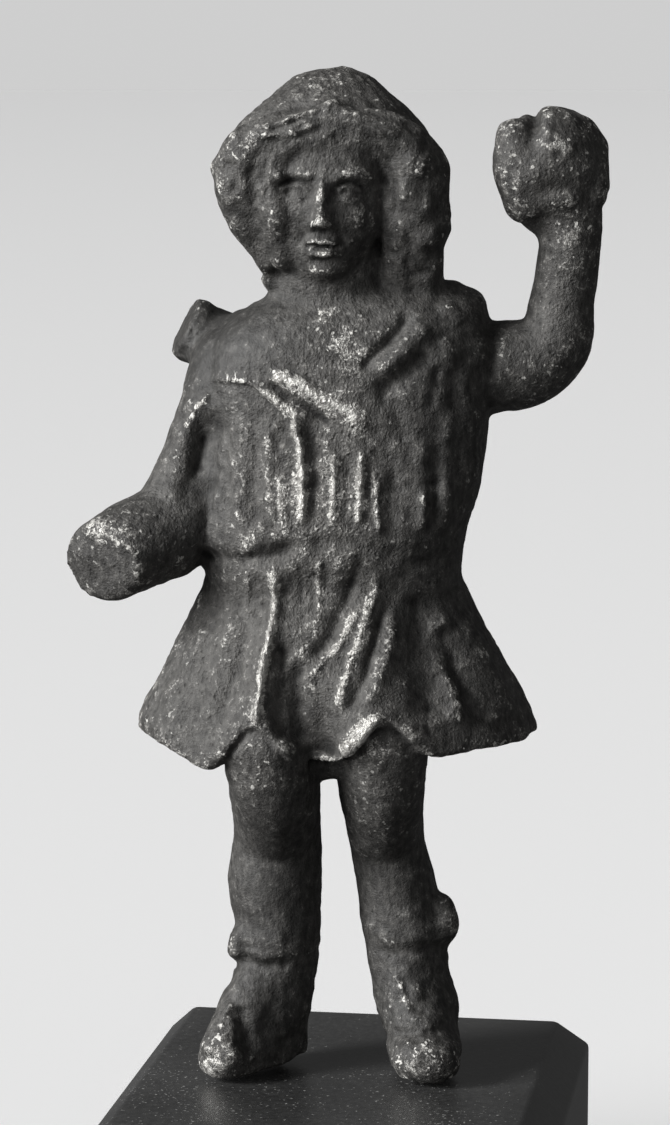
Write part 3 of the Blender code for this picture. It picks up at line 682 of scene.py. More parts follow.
    def grid(self) -> Array:
        """Ellipses that widen down the drop, rippled by 1 + d s cos(n a), then turned in under the hem.

        The tuck sets the front back by a share that fades as exp(-((a - at) / w)2) and grows as s3.

        Returns:
            Rings of points, level by side.
        """
        share, left, right, front, back = through(self.levels, 6).T
        angle = around(self.sides)
        hem_angle, hem_height = np.asarray(self.hem).T
        degrees = -np.degrees(angle) % 360.0
        hem = np.interp(degrees, hem_angle, hem_height)
        hem = np.mean([np.roll(hem, shift) for shift in range(-self.hem_blur, self.hem_blur + 1)], axis=0)
        cos, sin = np.cos(angle), np.sin(angle)
        rippled = np.cos(self.folds * angle) * np.clip(self.fold_side + sin, self.fold_least, 1.0)
        ripple = 1 + self.fold_depth * share[:, None] * rippled
        tuck_at, tuck_wide, tuck_share = self.tuck
        tucked = 1 - tuck_share * share[:, None] ** 3 * np.exp(-(((degrees - tuck_at) / tuck_wide) ** 2))
        x = 0.5 * (left + right)[:, None] + 0.5 * (right - left)[:, None] * cos * ripple
        y = np.where(sin < 0, -front[:, None], back[:, None]) * sin * ripple * tucked
        z = self.top + (hem - self.top) * share[:, None]
        outer = np.stack([x, y, z], axis=2)
        rim = outer[-1]
        middle = rim.mean(axis=0)
        turned = [
            middle + (rim - middle) * np.array([scale, scale, 1.0]) - np.array([0.0, 0.0, drop])
            for scale, drop in self.rolled_hem
        ]
        inner = middle + (rim - middle) * np.array([self.wall, self.wall, self.wall_drop])
        deep = inner * np.array([self.deep_wall, self.deep_wall, 1.0]) + np.array([0.0, 0.0, self.recess])
        return np.concatenate([outer, turned, inner[None], deep[None]])


@dataclass(frozen=True)
class Cuff:
    """Turned-down boot top: top and bottom height, how far it stands out, points and outer side."""

    top: float
    bottom: float
    stand: float
    points: int
    outside: int
    scallop: float = 0.55


# Share of a cuff's drop and how proud of the leg it is there, as a share of its stand
CUFF_PROFILE: Rows = ((0.0, -0.6), (0.3, 0.15), (0.55, 0.7), (0.8, 1.05), (0.93, 0.9), (1.0, -0.6))


@dataclass(frozen=True)
class Leg:
    """Leg in a soft boot: height, centre across, half width, centre in depth and half depth."""

    outline: Rows
    thigh: Rows
    foot: Rows
    sole: Rows
    instep: Rows
    cuff: Cuff
    flap: Rows
    creases: Strokes
    sides: int = 72

    def skin(self) -> Array:
        """Ellipses x = m + w cos(a), y = d + e sin(a), stacked up the leg.

        Returns:
            Rings of points, level by side.
        """
        height, middle, wide, depth, deep = through(self.outline, 6).T
        angle = around(self.sides)
        x = middle[:, None] + wide[:, None] * np.cos(angle)
        y = depth[:, None] + deep[:, None] * np.sin(angle)
        return np.stack([x, y, np.broadcast_to(height[:, None], x.shape)], axis=2)

    def band(self) -> Array:
        """The leg's ellipses pushed out by the cuff's stand, down to an edge scalloped by |cos(n a / 2)|.

        Returns:
            Rings of points, level by side.
        """
        table = np.asarray(self.outline)
        share, proud = np.asarray(CUFF_PROFILE).T
        angle = around(self.sides)
        edge = self.cuff.scallop * np.abs(np.cos(0.5 * self.cuff.points * angle))
        outward = 0.55 + 0.45 * self.cuff.outside * np.cos(angle)
        z = self.cuff.top + (self.cuff.bottom + edge - self.cuff.top) * share[:, None]
        middle, wide, depth, deep = (np.interp(z, table[:, 0], table[:, k]) for k in range(1, 5))
        rise = (proud * self.cuff.stand)[:, None] * outward
        x = middle + (wide + rise) * np.cos(angle)
        y = depth + (deep + rise) * np.sin(angle)
        return np.stack([x, y, z], axis=2)

    def grids(self) -> list[Array]:
        """Leg, thigh, the boot's foot, sole and instep, cuff and flap."""
        tubes = [Tube(rows).grid() for rows in (self.thigh, self.foot, self.sole, self.instep, self.flap)]
        return [self.skin(), self.band(), *tubes]


def right_leg() -> Leg:
    """The leg on the viewer's left."""
    return Leg(
        outline=(
            (1.0, -5.3, 2.4, 2.0, 2.6), (3.0, -5.9, 3.1, 1.4, 3.4), (6.0, -6.7, 4.25, 0.8, 4.4),
            (8.2, -6.3, 4.2, 0.8, 4.3), (10.5, -5.85, 4.1, 0.8, 4.2), (13.0, -5.75, 4.15, 0.7, 4.4),
            (15.5, -5.8, 4.4, 0.8, 4.8), (19.0, -6.0, 4.7, 0.9, 5.1), (23.0, -5.8, 4.45, 0.4, 4.7),
            (26.0, -5.8, 4.4, -0.4, 4.8), (29.0, -6.0, 4.6, -1.2, 5.4), (36.0, -6.3, 5.0, -1.2, 5.8),
        ),
        thigh=((-5.8, -1.6, 25.0, 3.9), (-6.1, -4.8, 30.5, 4.5), (-6.4, -6.0, 34.3, 4.7)),
        foot=(
            (-5.4, 1.7, 2.7, 2.1, 2.7), (-6.9, 0.4, 3.1, 2.8, 3.1), (-9.2, -2.1, 2.8, 3.1, 2.8),
            (-11.3, -4.3, 2.1, 3.0, 2.1),
        ),
        sole=(
            (-5.4, 1.6, 1.0, 2.2, 1.0), (-7.0, 0.2, 1.0, 3.2, 1.0), (-9.8, -2.4, 1.0, 3.1, 1.0),
            (-11.6, -4.4, 1.0, 2.6, 1.0),
        ),
        instep=((-7.2, -0.6, 9.0, 3.0), (-9.4, -2.4, 5.6, 2.6), (-11.4, -4.2, 3.0, 2.2)),
        cuff=Cuff(14.6, 11.4, 0.65, 5, -1),
        flap=((-9.5, -1.0, 13.7, 1.1, 1.4), (-9.7, -1.0, 12.2, 1.1, 1.5)),
        creases=(
            *ridges(
                (0.3, 0.36, RIGHT_SEAM), (0.9, 0.3, ((-10.2, 13.7), (-7.5, 13.0), (-4.8, 13.2))),
                (0.5, 0.26, ((-13.6, 1.6), (-11.6, 2.2), (-10.0, 1.6))),
                (0.55, 0.25, ((-6.6, 0.8), (-4.2, 1.6))),
            ),
            *grooves(
                (0.85, 1.1, ((-9.6, 6.4), (-9.2, 4.3), (-8.8, 2.4), (-8.0, 1.2))),
                (0.6, 0.34, ((-10.8, 11.4), (-8.7, 10.9), (-6.4, 10.4), (-4.2, 10.9))),
                (0.3, 0.26, ((-14.0, 0.6), (-12.2, 0.8), (-10.2, 0.2))),
            ),
        ),
    )


def left_leg() -> Leg:
    """The leg on the viewer's right."""
    return Leg(
        outline=(
            (1.0, 8.7, 2.6, 1.2, 2.6), (3.0, 8.7, 3.4, 1.0, 3.4), (6.0, 8.3, 4.2, 0.6, 4.3),
            (9.5, 7.6, 4.05, 0.8, 4.2), (12.5, 7.1, 4.1, 0.9, 4.3), (15.0, 6.7, 4.1, 1.0, 4.5),
            (19.0, 6.1, 4.0, 1.0, 4.7), (23.0, 5.25, 3.8, 0.4, 4.4), (25.6, 4.85, 3.9, -0.6, 4.6),
            (28.6, 4.6, 4.3, -1.4, 5.2), (36.0, 4.5, 5.0, -1.4, 5.7),
        ),
        thigh=((4.85, -1.8, 25.0, 3.7), (4.75, -4.7, 30.5, 4.2), (4.7, -5.8, 34.3, 4.6)),
        foot=(
            (8.5, 3.0, 2.8, 3.0, 2.8), (8.7, 0.4, 3.5, 3.4, 3.5), (8.9, -2.8, 3.1, 3.7, 3.1),
            (9.0, -5.8, 2.5, 3.4, 2.5),
        ),
        sole=(
            (8.5, 2.8, 1.1, 2.5, 1.1), (8.8, 0.2, 1.1, 3.1, 1.1), (8.9, -2.9, 1.1, 3.4, 1.1),
            (9.0, -6.1, 1.1, 3.0, 1.1),
        ),
        instep=((7.3, -0.8, 9.6, 3.1), (8.0, -1.9, 6.2, 3.2), (8.7, -3.8, 3.8, 3.0)),
        cuff=Cuff(17.6, 12.9, 0.85, 5, 1),
        flap=((10.3, -0.4, 16.3, 1.7, 1.7), (10.8, -0.6, 14.7, 1.7, 2.1), (10.4, -0.6, 13.4, 1.3, 1.3)),
        creases=(
            *ridges(
                (0.3, 0.3, LEFT_SEAM), (0.85, 0.28, ((5.4, 11.2), (6.2, 6.8), (6.4, 3.6))),
                (0.6, 0.22, ((3.8, 16.2), (7.0, 15.6), (9.4, 16.0))),
            ),
            *grooves(
                (0.45, 0.3, ((3.3, 12.3), (5.9, 11.7), (8.8, 11.9), (11.3, 12.5))),
                (0.5, 0.5, ((5.6, 3.5), (8.6, 3.5), (11.8, 4.2))), (0.45, 0.22, ((8.9, 10.6), (9.4, 6.4))),
            ),
        ),
    )


@dataclass(frozen=True)
class Arms:
    """The lowered arm, broken at the wrist, and the raised arm with its closed hand."""

    lowered: Rows = (
        (-10.2, 0.4, 70.6, 4.0), (-11.9, -0.6, 65.6, 3.7), (-13.8, -1.4, 60.2, 3.9),
        (-15.9, -2.0, 55.2, 4.6), (-19.4, -4.0, 53.5, 4.5), (-22.0, -5.6, 52.3, 4.25),
        (-22.5, -6.3, 52.05, 3.95), (-22.75, -6.7, 51.95, 3.0),
    )
    raised: Rows = (
        (10.0, 0.8, 70.6, 4.9), (15.5, 0.8, 70.5, 4.6), (19.0, 0.6, 71.1, 4.4), (21.5, 0.2, 73.2, 3.8),
        (22.2, -0.2, 77.0, 3.2), (22.75, -0.6, 81.0, 3.05), (22.9, -0.9, 85.5, 3.1),
    )
    palm: Rows = (
        (22.6, -0.8, 84.4, 3.1, 2.9), (21.6, -0.6, 87.2, 4.9, 3.6), (21.2, -0.4, 90.0, 5.3, 3.8),
        (21.6, -0.2, 92.4, 4.8, 3.4),
    )
    thumb: Rows = ((18.6, -2.2, 87.0, 2.5), (17.8, -2.5, 89.9, 2.6), (17.4, -2.2, 92.8, 2.05))
    heel: Rows = ((18.6, -3.2, 87.4, 1.3), (22.0, -3.6, 87.2, 1.4), (23.8, -2.3, 87.4, 1.0))
    hollow_fills: Rows = ((21.5, -1.7, 90.0, 3.6), (19.4, -2.7, 89.6, 2.9))
    # Notch between thumb and fingers: place, half width, depth, and half height over which it fades in
    notch: Row = (19.2, 93.6, 0.5, 0.6, 1.0)
    first_finger: float = 20.9
    finger_top: float = 94.55
    fingers: int = 4
    finger_pitch: float = 1.45
    finger_drop: float = 0.28
    finger_radius: float = 1.5
    finger_back: float = 0.2
    # Bends of a finger beyond its base, from its own place: across, depth and height
    finger_bends: Rows = ((0.0, 0.4, -0.9), (-0.1, -1.9, -0.1), (-0.2, -3.6, -1.8), (-0.3, -3.9, -4.6))
    # Cell of the lattice, height and seed of each layer of grain on the broken end
    break_grain: Rows = ((1.5, 1.0, 41), (0.9, 0.4, 42))
    break_depth: float = 0.16
    # Creases of the fist and the wrist, and the sleeve's edge
    front: Strokes = (
        *ridges((0.34, 0.36, SLEEVE_EDGE), (0.5, 0.2, ((20.2, 91.8), (21.9, 92.2), (23.4, 91.7)))),
        *grooves(
            (0.85, 0.26, ((17.6, 87.8), (20.2, 87.6), (23.0, 88.0), (25.4, 88.3))),
            (0.34, 0.24, ((18.7, 84.8), (20.4, 85.0), (22.9, 84.8), (25.5, 84.6))),
            (0.26, 0.14, ((21.4, 95.0), (21.5, 93.2))), (0.26, 0.14, ((23.0, 94.6), (23.0, 92.8))),
        ),
    )

    def finger(self, k: int) -> Tube:
        """One curled finger, lower the further it is from the first.

        Args:
            k: place in the row, from 0.

        Returns:
            The finger's form.
        """
        x = self.first_finger + self.finger_pitch * k
        z = self.finger_top - self.finger_drop * k * k
        back = self.finger_back * k * k
        bends = ((0.1 * k, 1.0, -4.0), *self.finger_bends)
        rows = tuple((x + dx, y + back, z + dz, self.finger_radius) for dx, y, dz in bends)
        return Tube(rows, sides=24)

    def forms(self) -> list[Form]:
        """Closed surfaces of both arms and the hand.

        Returns:
            Limbs, hand and fingers.
        """
        fingers = [self.finger(k) for k in range(self.fingers)]
        limbs = [Tube(self.lowered, flat_end=True), Tube(self.raised)]
        hand = [Tube(self.palm), Tube(self.thumb), Tube(self.heel), *(Ball(row) for row in self.hollow_fills)]
        return limbs + hand + fingers

    def notch_relief(self, skin: Skin) -> Array:
        """Notch between thumb and fingers, exp(-(x/w)2) across and only near the top of the hand.

        Args:
            skin: the skin being carved.

        Returns:
            Move of each point.
        """
        x, z, width, depth, fade = self.notch
        across = np.exp(-(((skin.points[:, 0] - x) / width) ** 2))
        return -depth * across * eased(skin.points[:, 2], z - fade, z + fade)

    def break_relief(self, skin: Skin) -> Array:
        """Coarse noise on the broken end, faded by exp(-(d/r)4) of the distance d from its middle.

        Args:
            skin: the skin being carved.

        Returns:
            Move of each point.
        """
        *middle, radius = self.lowered[-1]
        gap = np.linalg.norm(skin.points - np.asarray(middle), axis=1) / radius
        return self.break_depth * np.exp(-(gap**4)) * layered(skin.points, self.break_grain)


@dataclass(frozen=True)
class Head:
    """Head with parted hair: rolls drawn back from the parting, curls at the sides, a knot at the nape."""

    turn: float = math.radians(-7.0)
    tilt: float = math.radians(1.5)
    pivot: Row = (-0.2, 0.6, 88.0)
    # Head without hair: height, half width, front and back
    skull: Rows = (
        (79.3, 2.2, -5.2, 0.5), (80.2, 3.6, -6.3, 2.6), (82.4, 5.0, -7.2, 5.4), (85.0, 5.9, -7.7, 7.0),
        (88.0, 6.5, -7.9, 7.8), (91.5, 6.6, -7.8, 7.9), (94.6, 5.8, -6.8, 7.0), (96.8, 4.0, -4.6, 5.0),
    )
    cap: Rows = (
        (79.4, -7.0, 8.4, 0.0, 6.6), (82.6, -9.0, 9.3, -1.6, 9.0), (86.5, -10.7, 10.3, -2.6, 10.6),
        (90.0, -11.4, 10.5, -3.6, 11.0), (93.0, -10.3, 9.4, -5.2, 10.4), (95.4, -8.1, 7.4, -6.2, 9.0),
        (97.4, -5.6, 5.1, -4.6, 6.8), (98.9, -3.7, 3.2, -2.2, 4.2), (99.6, -1.2, 1.4, -0.4, 1.8),
    )
    right_roll: Rows = (
        (-0.6, -6.3, 94.6, 1.3), (-4.4, -5.8, 93.9, 1.7), (-8.0, -4.5, 92.0, 2.4), (-9.1, -3.9, 88.9, 2.6),
        (-8.5, -3.4, 85.8, 2.3), (-7.0, -2.4, 82.6, 1.8),
    )
    left_roll: Rows = (
        (-0.2, -6.4, 94.6, 1.4), (4.0, -6.2, 93.9, 1.9), (7.2, -4.9, 91.8, 2.4), (8.6, -4.2, 88.6, 2.6),
        (8.6, -3.8, 85.0, 2.6), (8.2, -3.2, 81.6, 2.2), (8.7, -2.4, 78.6, 2.0),
    )
    curls: Rows = (
        (-9.0, -5.4, 92.5, 1.4), (-7.4, -5.5, 91.2, 1.3), (-10.6, -3.8, 90.0, 1.5), (-8.2, -5.1, 89.4, 1.3),
        (-9.8, -4.4, 88.2, 1.4), (-7.9, -4.8, 87.0, 1.3), (-9.5, -4.0, 86.0, 1.4), (-8.6, -4.2, 84.7, 1.3),
        (-7.2, -4.3, 84.2, 1.2), (-7.9, -3.0, 83.0, 1.3), (-6.4, -2.6, 81.2, 1.4), (-5.9, -1.4, 79.2, 1.4),
        (6.2, -6.4, 93.2, 1.2), (8.5, -4.6, 91.8, 1.4), (7.7, -6.4, 90.5, 1.6), (9.6, -4.6, 89.4, 1.4),
        (7.0, -6.4, 88.0, 1.3), (8.2, -6.0, 86.6, 1.5), (9.9, -4.3, 86.4, 1.3), (7.0, -5.6, 85.0, 1.2),
        (8.6, -5.2, 83.5, 1.6), (7.0, -4.6, 82.2, 1.2), (9.3, -3.8, 81.2, 1.3), (8.2, -3.6, 79.9, 1.2),
    )
    linings: tuple[Rows, ...] = (
        (
            (-5.6, -5.6, 92.0, 1.6), (-6.0, -5.5, 89.0, 1.8), (-5.8, -5.0, 85.4, 1.8),
            (-5.1, -4.0, 81.8, 1.6),
        ),
        (
            (-5.3, -5.9, 91.7, 1.6), (-3.0, -6.5, 93.0, 1.5), (2.6, -6.3, 93.0, 1.4),
            (4.8, -5.7, 91.7, 1.2),
        ),
        (
            (5.4, -5.3, 92.0, 1.5), (6.4, -5.0, 89.0, 1.8), (6.3, -4.6, 85.4, 1.8), (6.2, -3.7, 81.6, 1.7),
            (6.2, -2.4, 78.4, 1.8),
        ),
    )
    nape_knot: Row = (0.0, 9.2, 84.0, 3.6)
    parting_knot: Row = (-0.4, -6.6, 95.6, 1.15)
    roll_turns: float = 1.6
    # Strands combed over the cap: number, depth, middle, reach and how far they sway
    combed: int = 30
    combed_depth: float = 0.11
    combed_middle: Row = (-0.3, 2.0, 0.0)
    combed_reach: float = 14.0
    combed_sway: float = 1.8
    combed_noise: Rows = ((4.0, 1.0, 31), (1.8, 0.5, 32))
    # Heights where they fade in over the brow and the nape and out at the crown, and depths at the ears
    brow_fade: Row = (95.4, 96.6)
    crown_fade: Row = (98.6, 99.5)
    nape_fade: Row = (80.0, 83.0)
    ear_fade: Row = (-1.0, 1.5)
    brow_share: float = 0.4
    # Hollow at the heart of a curl: half width, depth, reach across and half its reach up
    heart: Row = (0.5, 0.22, 0.2, 0.25)
    # The face's patch about the pivot: half width, bottom, top and depth, and how fast it fades sideways
    face_patch: Row = (6.4, -10.0, 5.0, -3.6)
    face_sharpness: float = 1.8
    # Face, in its own hundredths from the head's pivot: across, up, half width, half height, relief
    features: Rows = (
        (-2.7, -0.2, 1.75, 0.95, -1.05), (2.7, -0.2, 1.75, 0.95, -1.05), (-2.65, -0.35, 0.95, 0.62, 0.85),
        (2.65, -0.35, 0.95, 0.62, 0.85), (0.0, -0.4, 0.6, 1.4, 0.95), (0.0, -2.1, 0.72, 1.2, 0.7),
        (0.0, -3.05, 0.8, 0.62, 0.95), (-0.85, -3.35, 0.42, 0.42, 0.5), (0.85, -3.35, 0.42, 0.42, 0.5),
        (0.0, -5.4, 1.9, 1.1, 0.4), (0.0, -6.75, 1.2, 0.38, -0.34), (0.0, -7.9, 1.6, 0.95, 0.48),
        (-3.8, -2.7, 1.7, 1.5, 0.42), (3.8, -2.7, 1.7, 1.5, 0.42), (-2.1, -4.6, 0.55, 1.0, -0.22),
        (2.1, -4.6, 0.55, 1.0, -0.22),
    )
    # Strands drawn from the parting
    front: Strokes = (
        *ridges(
            (0.24, 0.55, ((-1.2, 95.5), (-3.5, 95.0), (-5.4, 94.2), (-7.8, 93.5))),
            (0.22, 0.3, ((-1.3, 95.0), (-3.2, 94.3), (-5.2, 93.4))),
            (0.24, 0.5, ((-1.0, 94.5), (-4.1, 93.4), (-7.5, 92.9), (-9.3, 92.2))),
            (0.22, 0.3, ((0.7, 95.3), (2.8, 94.9), (5.4, 93.9))),
            (0.22, 0.3, ((0.7, 94.6), (3.3, 94.0), (5.0, 92.9))),
        ),
        *grooves(
            (0.34, 0.42, ((-1.6, 96.1), (-5.4, 95.3), (-8.4, 93.9), (-10.2, 92.2))),
            (0.2, 0.24, ((-1.2, 95.25), (-3.4, 94.65), (-6.4, 93.7))),
            (0.34, 0.42, ((0.9, 96.1), (4.2, 95.5), (7.0, 94.2), (9.2, 92.4))),
            (0.2, 0.24, ((0.8, 95.0), (3.2, 94.45), (5.6, 93.3))),
            (0.3, 0.2, ((-0.8, 93.7), (-4.0, 92.7), (-6.4, 91.2), (-6.9, 87.6), (-6.3, 84.4))),
            (0.3, 0.38, ((0.6, 93.7), (3.4, 92.7), (5.3, 90.6), (5.7, 87.6), (5.4, 84.4))),
            (0.2, 0.28, ((-0.4, 99.0), (-0.4, 96.8))), (0.2, 0.24, ((-0.6, 95.2), (-0.2, 96.2))),
        ),
    )
    # Brow, upper lid, lower lid, crease over the lid and crease beside the mouth, on the face's own sheet
    side_lines: Strokes = (
        *ridges(
            (0.6, 0.36, ((0.8, 0.95), (2.0, 1.45), (3.4, 1.45), (4.7, 0.75))),
            (0.26, 0.36, ((1.35, -0.3), (2.0, 0.25), (2.8, 0.36), (3.6, 0.05), (4.0, -0.4))),
            (0.22, 0.22, ((1.45, -0.5), (2.1, -0.92), (2.9, -1.02), (3.6, -0.78), (4.0, -0.42))),
        ),
        *grooves(
            (0.2, 0.26, ((1.3, 0.25), (2.1, 0.72), (3.2, 0.78), (4.1, 0.25))),
            (0.22, 0.2, ((1.2, -3.9), (1.9, -4.6), (2.3, -5.4))),
        ),
    )
    # Lips, the line between them, the foot of the nose and the groove under it
    middle_lines: Strokes = (
        *ridges((0.3, 0.45, UPPER_LIP), (0.36, 0.5, ((-1.2, -5.75), (0.0, -5.98), (1.2, -5.75)))),
        *grooves(
            (0.17, 0.55, ((-1.75, -5.38), (-0.8, -5.3), (0.0, -5.38), (0.8, -5.3), (1.75, -5.38))),
            (0.26, 0.34, ((-1.0, -3.85), (0.0, -3.8), (1.0, -3.85))),
            (0.18, 0.16, ((0.0, -4.05), (0.0, -4.65))),
        ),
    )
    # Parting and the coil of the nape knot
    back: Strokes = (
        *grooves(
            (0.45, 0.6, ((0.0, 98.8), (0.0, 88.2))), (0.45, 0.55, ((-3.4, 86.6), (0.0, 87.6), (3.4, 86.6))),
            (0.4, 0.55, COIL),
        ),
        *ridges((0.5, 0.4, ((-8.2, 93.0), (-4.0, 91.6), (4.0, 91.6), (8.2, 93.0)))),
    )

    def bare(self) -> Array:
        """The head's ovals, turned about the vertical and tilted sideways about the pivot.

        Returns:
            Rings of points, level by side.
        """
        middle = self.pivot[0]
        rows = tuple((z, middle - wide, middle + wide, front, back) for z, wide, front, back in self.skull)
        grid = Ovals(rows).grid()
        spin = Matrix.Rotation(self.tilt, 3, "Y") @ Matrix.Rotation(self.turn, 3, "Z")
        centre = np.asarray(self.pivot)
        return (grid - centre) @ np.asarray(spin).T + centre

    def grids(self) -> list[Array]:
        """Head, cap of hair, rolls, curls and both knots.

        Returns:
            The grid of each form.
        """
        x, y, z, radius = self.nape_knot
        nape = ((x, y - 1.0, z + 1.6, 0.8 * radius), (x, y, z, radius), (x, y - 1.2, z - 2.0, 0.7 * radius))
        rolls = [
            Tube(
                roll,
                steps=12,
                sides=48,
                strands=5,
                strand_depth=0.03,
                strand_turns=turns,
                swells=4.5,
                swell_depth=0.04,
            )
            for roll, turns in ((self.right_roll, self.roll_turns), (self.left_roll, -self.roll_turns))
        ]
        linings = [Tube(lining, sides=24) for lining in self.linings]
        hair = [Ovals(self.cap, power=2.1), *rolls, *linings, Tube(nape), Ball(self.parting_knot)]
        return [self.bare()] + [form.grid() for form in hair + [Ball(curl) for curl in self.curls]]

    def local(self, points: Array) -> Array:
        """Places from the pivot with the head's turn and tilt taken off."""
        back = Matrix.Rotation(-self.turn, 3, "Z") @ Matrix.Rotation(-self.tilt, 3, "Y")
        return (points - np.asarray(self.pivot)) @ np.asarray(back).T

    def lines(self) -> Strokes:
        """Brows, lids and lips, in the head's own hundredths, the same on both sides.

        Returns:
            The strokes, those of each side first.
        """
        drawn = []
        for side in (-1.0, 1.0):
            for stroke in self.side_lines:
                line = tuple((side * x, z) for x, z in stroke.line)
                drawn.append(replace(stroke, line=line))
        return (*drawn, *self.middle_lines)

    def face_relief(self, skin: Skin) -> Array:
        """The face's mounds and lines on the front of the head.

        Args:
            skin: the skin being carved.

        Returns:
            Move of each point.
        """
        local = self.local(skin.points)
        half, low, high, depth = self.face_patch
        x, y, z = local.T
        near = (np.abs(x) < half) & (y < depth) & (z > low) & (z < high)
        flat = local[near][:, [0, 2]]
        relief = mounds(flat, self.features) + sum(stroke.relief(flat) for stroke in self.lines())
        move = np.zeros(skin.count)
        move[near] = relief * np.clip(-self.face_sharpness * skin.normals[near, 1], 0.0, 1.0)
        return move

    def combed_relief(self, skin: Skin) -> Array:
        """Strands combed down from the crown, cos(n a) of the angle a round the head, on the cap of hair.

        Args:
            skin: the skin being carved.

        Returns:
            Move of each point.
        """
        x, y, z = (skin.points - np.asarray(self.combed_middle)).T
        angle = np.arctan2(x, -y)
        crown = 1 - eased(z, *self.crown_fade)
        above = eased(z, *self.brow_fade) * crown
        behind = eased(y, *self.ear_fade) * eased(z, *self.nape_fade) * crown
        inside = np.hypot(x, y) < self.combed_reach
        wave = np.cos(self.combed * angle + self.combed_sway * layered(skin.points, self.combed_noise))
        return self.combed_depth * wave * np.maximum(self.brow_share * above, behind) * inside

    def hearts(self) -> Strokes:
        """The hollow at the heart of each curl.

        Returns:
            A short groove for each.
        """
        width, depth, over, up = self.heart
        drawn = []
        for x, y, z, _ in self.curls:
            across = x / (1 + y / EYE_DISTANCE)
            line = ((across, z - up), (across + over, z + up))
            drawn.append(Stroke(Cut.GROOVE, width, depth, line, taper=0.0))
        return tuple(drawn)


@dataclass(frozen=True)
class Quiver:
    """Quiver slung across the back, from its mouth behind the right shoulder."""

    rows: Rows = (
        (-14.9, 4.0, 74.3, 3.1), (-9.0, 5.2, 71.2, 3.2), (-2.0, 8.4, 65.6, 2.7), (4.4, 9.0, 60.6, 2.3),
    )
    cover: Rows = ((-12.6, 2.4, 72.2, 2.2), (-8.6, 1.4, 73.5, 2.8))
    rim_at: float = 1.1
    rim_half: float = 0.55
    rim_depth: float = 0.1
    band_at: float = 9.0
    band_share: float = 0.7
    # Distance from the middle line over which the bands fade, and how far a band's skin may face along it
    band_fade: Row = (3.3, 4.0)
    band_facing: float = 0.7

    def forms(self) -> list[Form]:
        """The quiver's body and the cloth that joins it to the shoulder."""
        return [Tube(self.rows, flat_start=True), Tube(self.cover)]

    def bands(self, skin: Skin) -> Array:
        """Raised bands round the quiver: h exp(-((s - at)/w)2) of the length s from its mouth.

        Args:
            skin: the skin being carved.

        Returns:
            Move of each point.
        """
        start, end = np.asarray(self.rows[0][:3]), np.asarray(self.rows[1][:3])
        ahead = (end - start) / np.linalg.norm(end - start)
        along = (skin.points - start) @ ahead
        off = np.linalg.norm(skin.points - start - along[:, None] * ahead, axis=1)
        round_it = (1 - eased(off, *self.band_fade)) * (np.abs(skin.normals @ ahead) < self.band_facing)
        shape = np.exp(-(((along - self.rim_at) / self.rim_half) ** 2))
        shape += self.band_share * np.exp(-(((along - self.band_at) / self.rim_half) ** 2))
        return self.rim_depth * shape * round_it


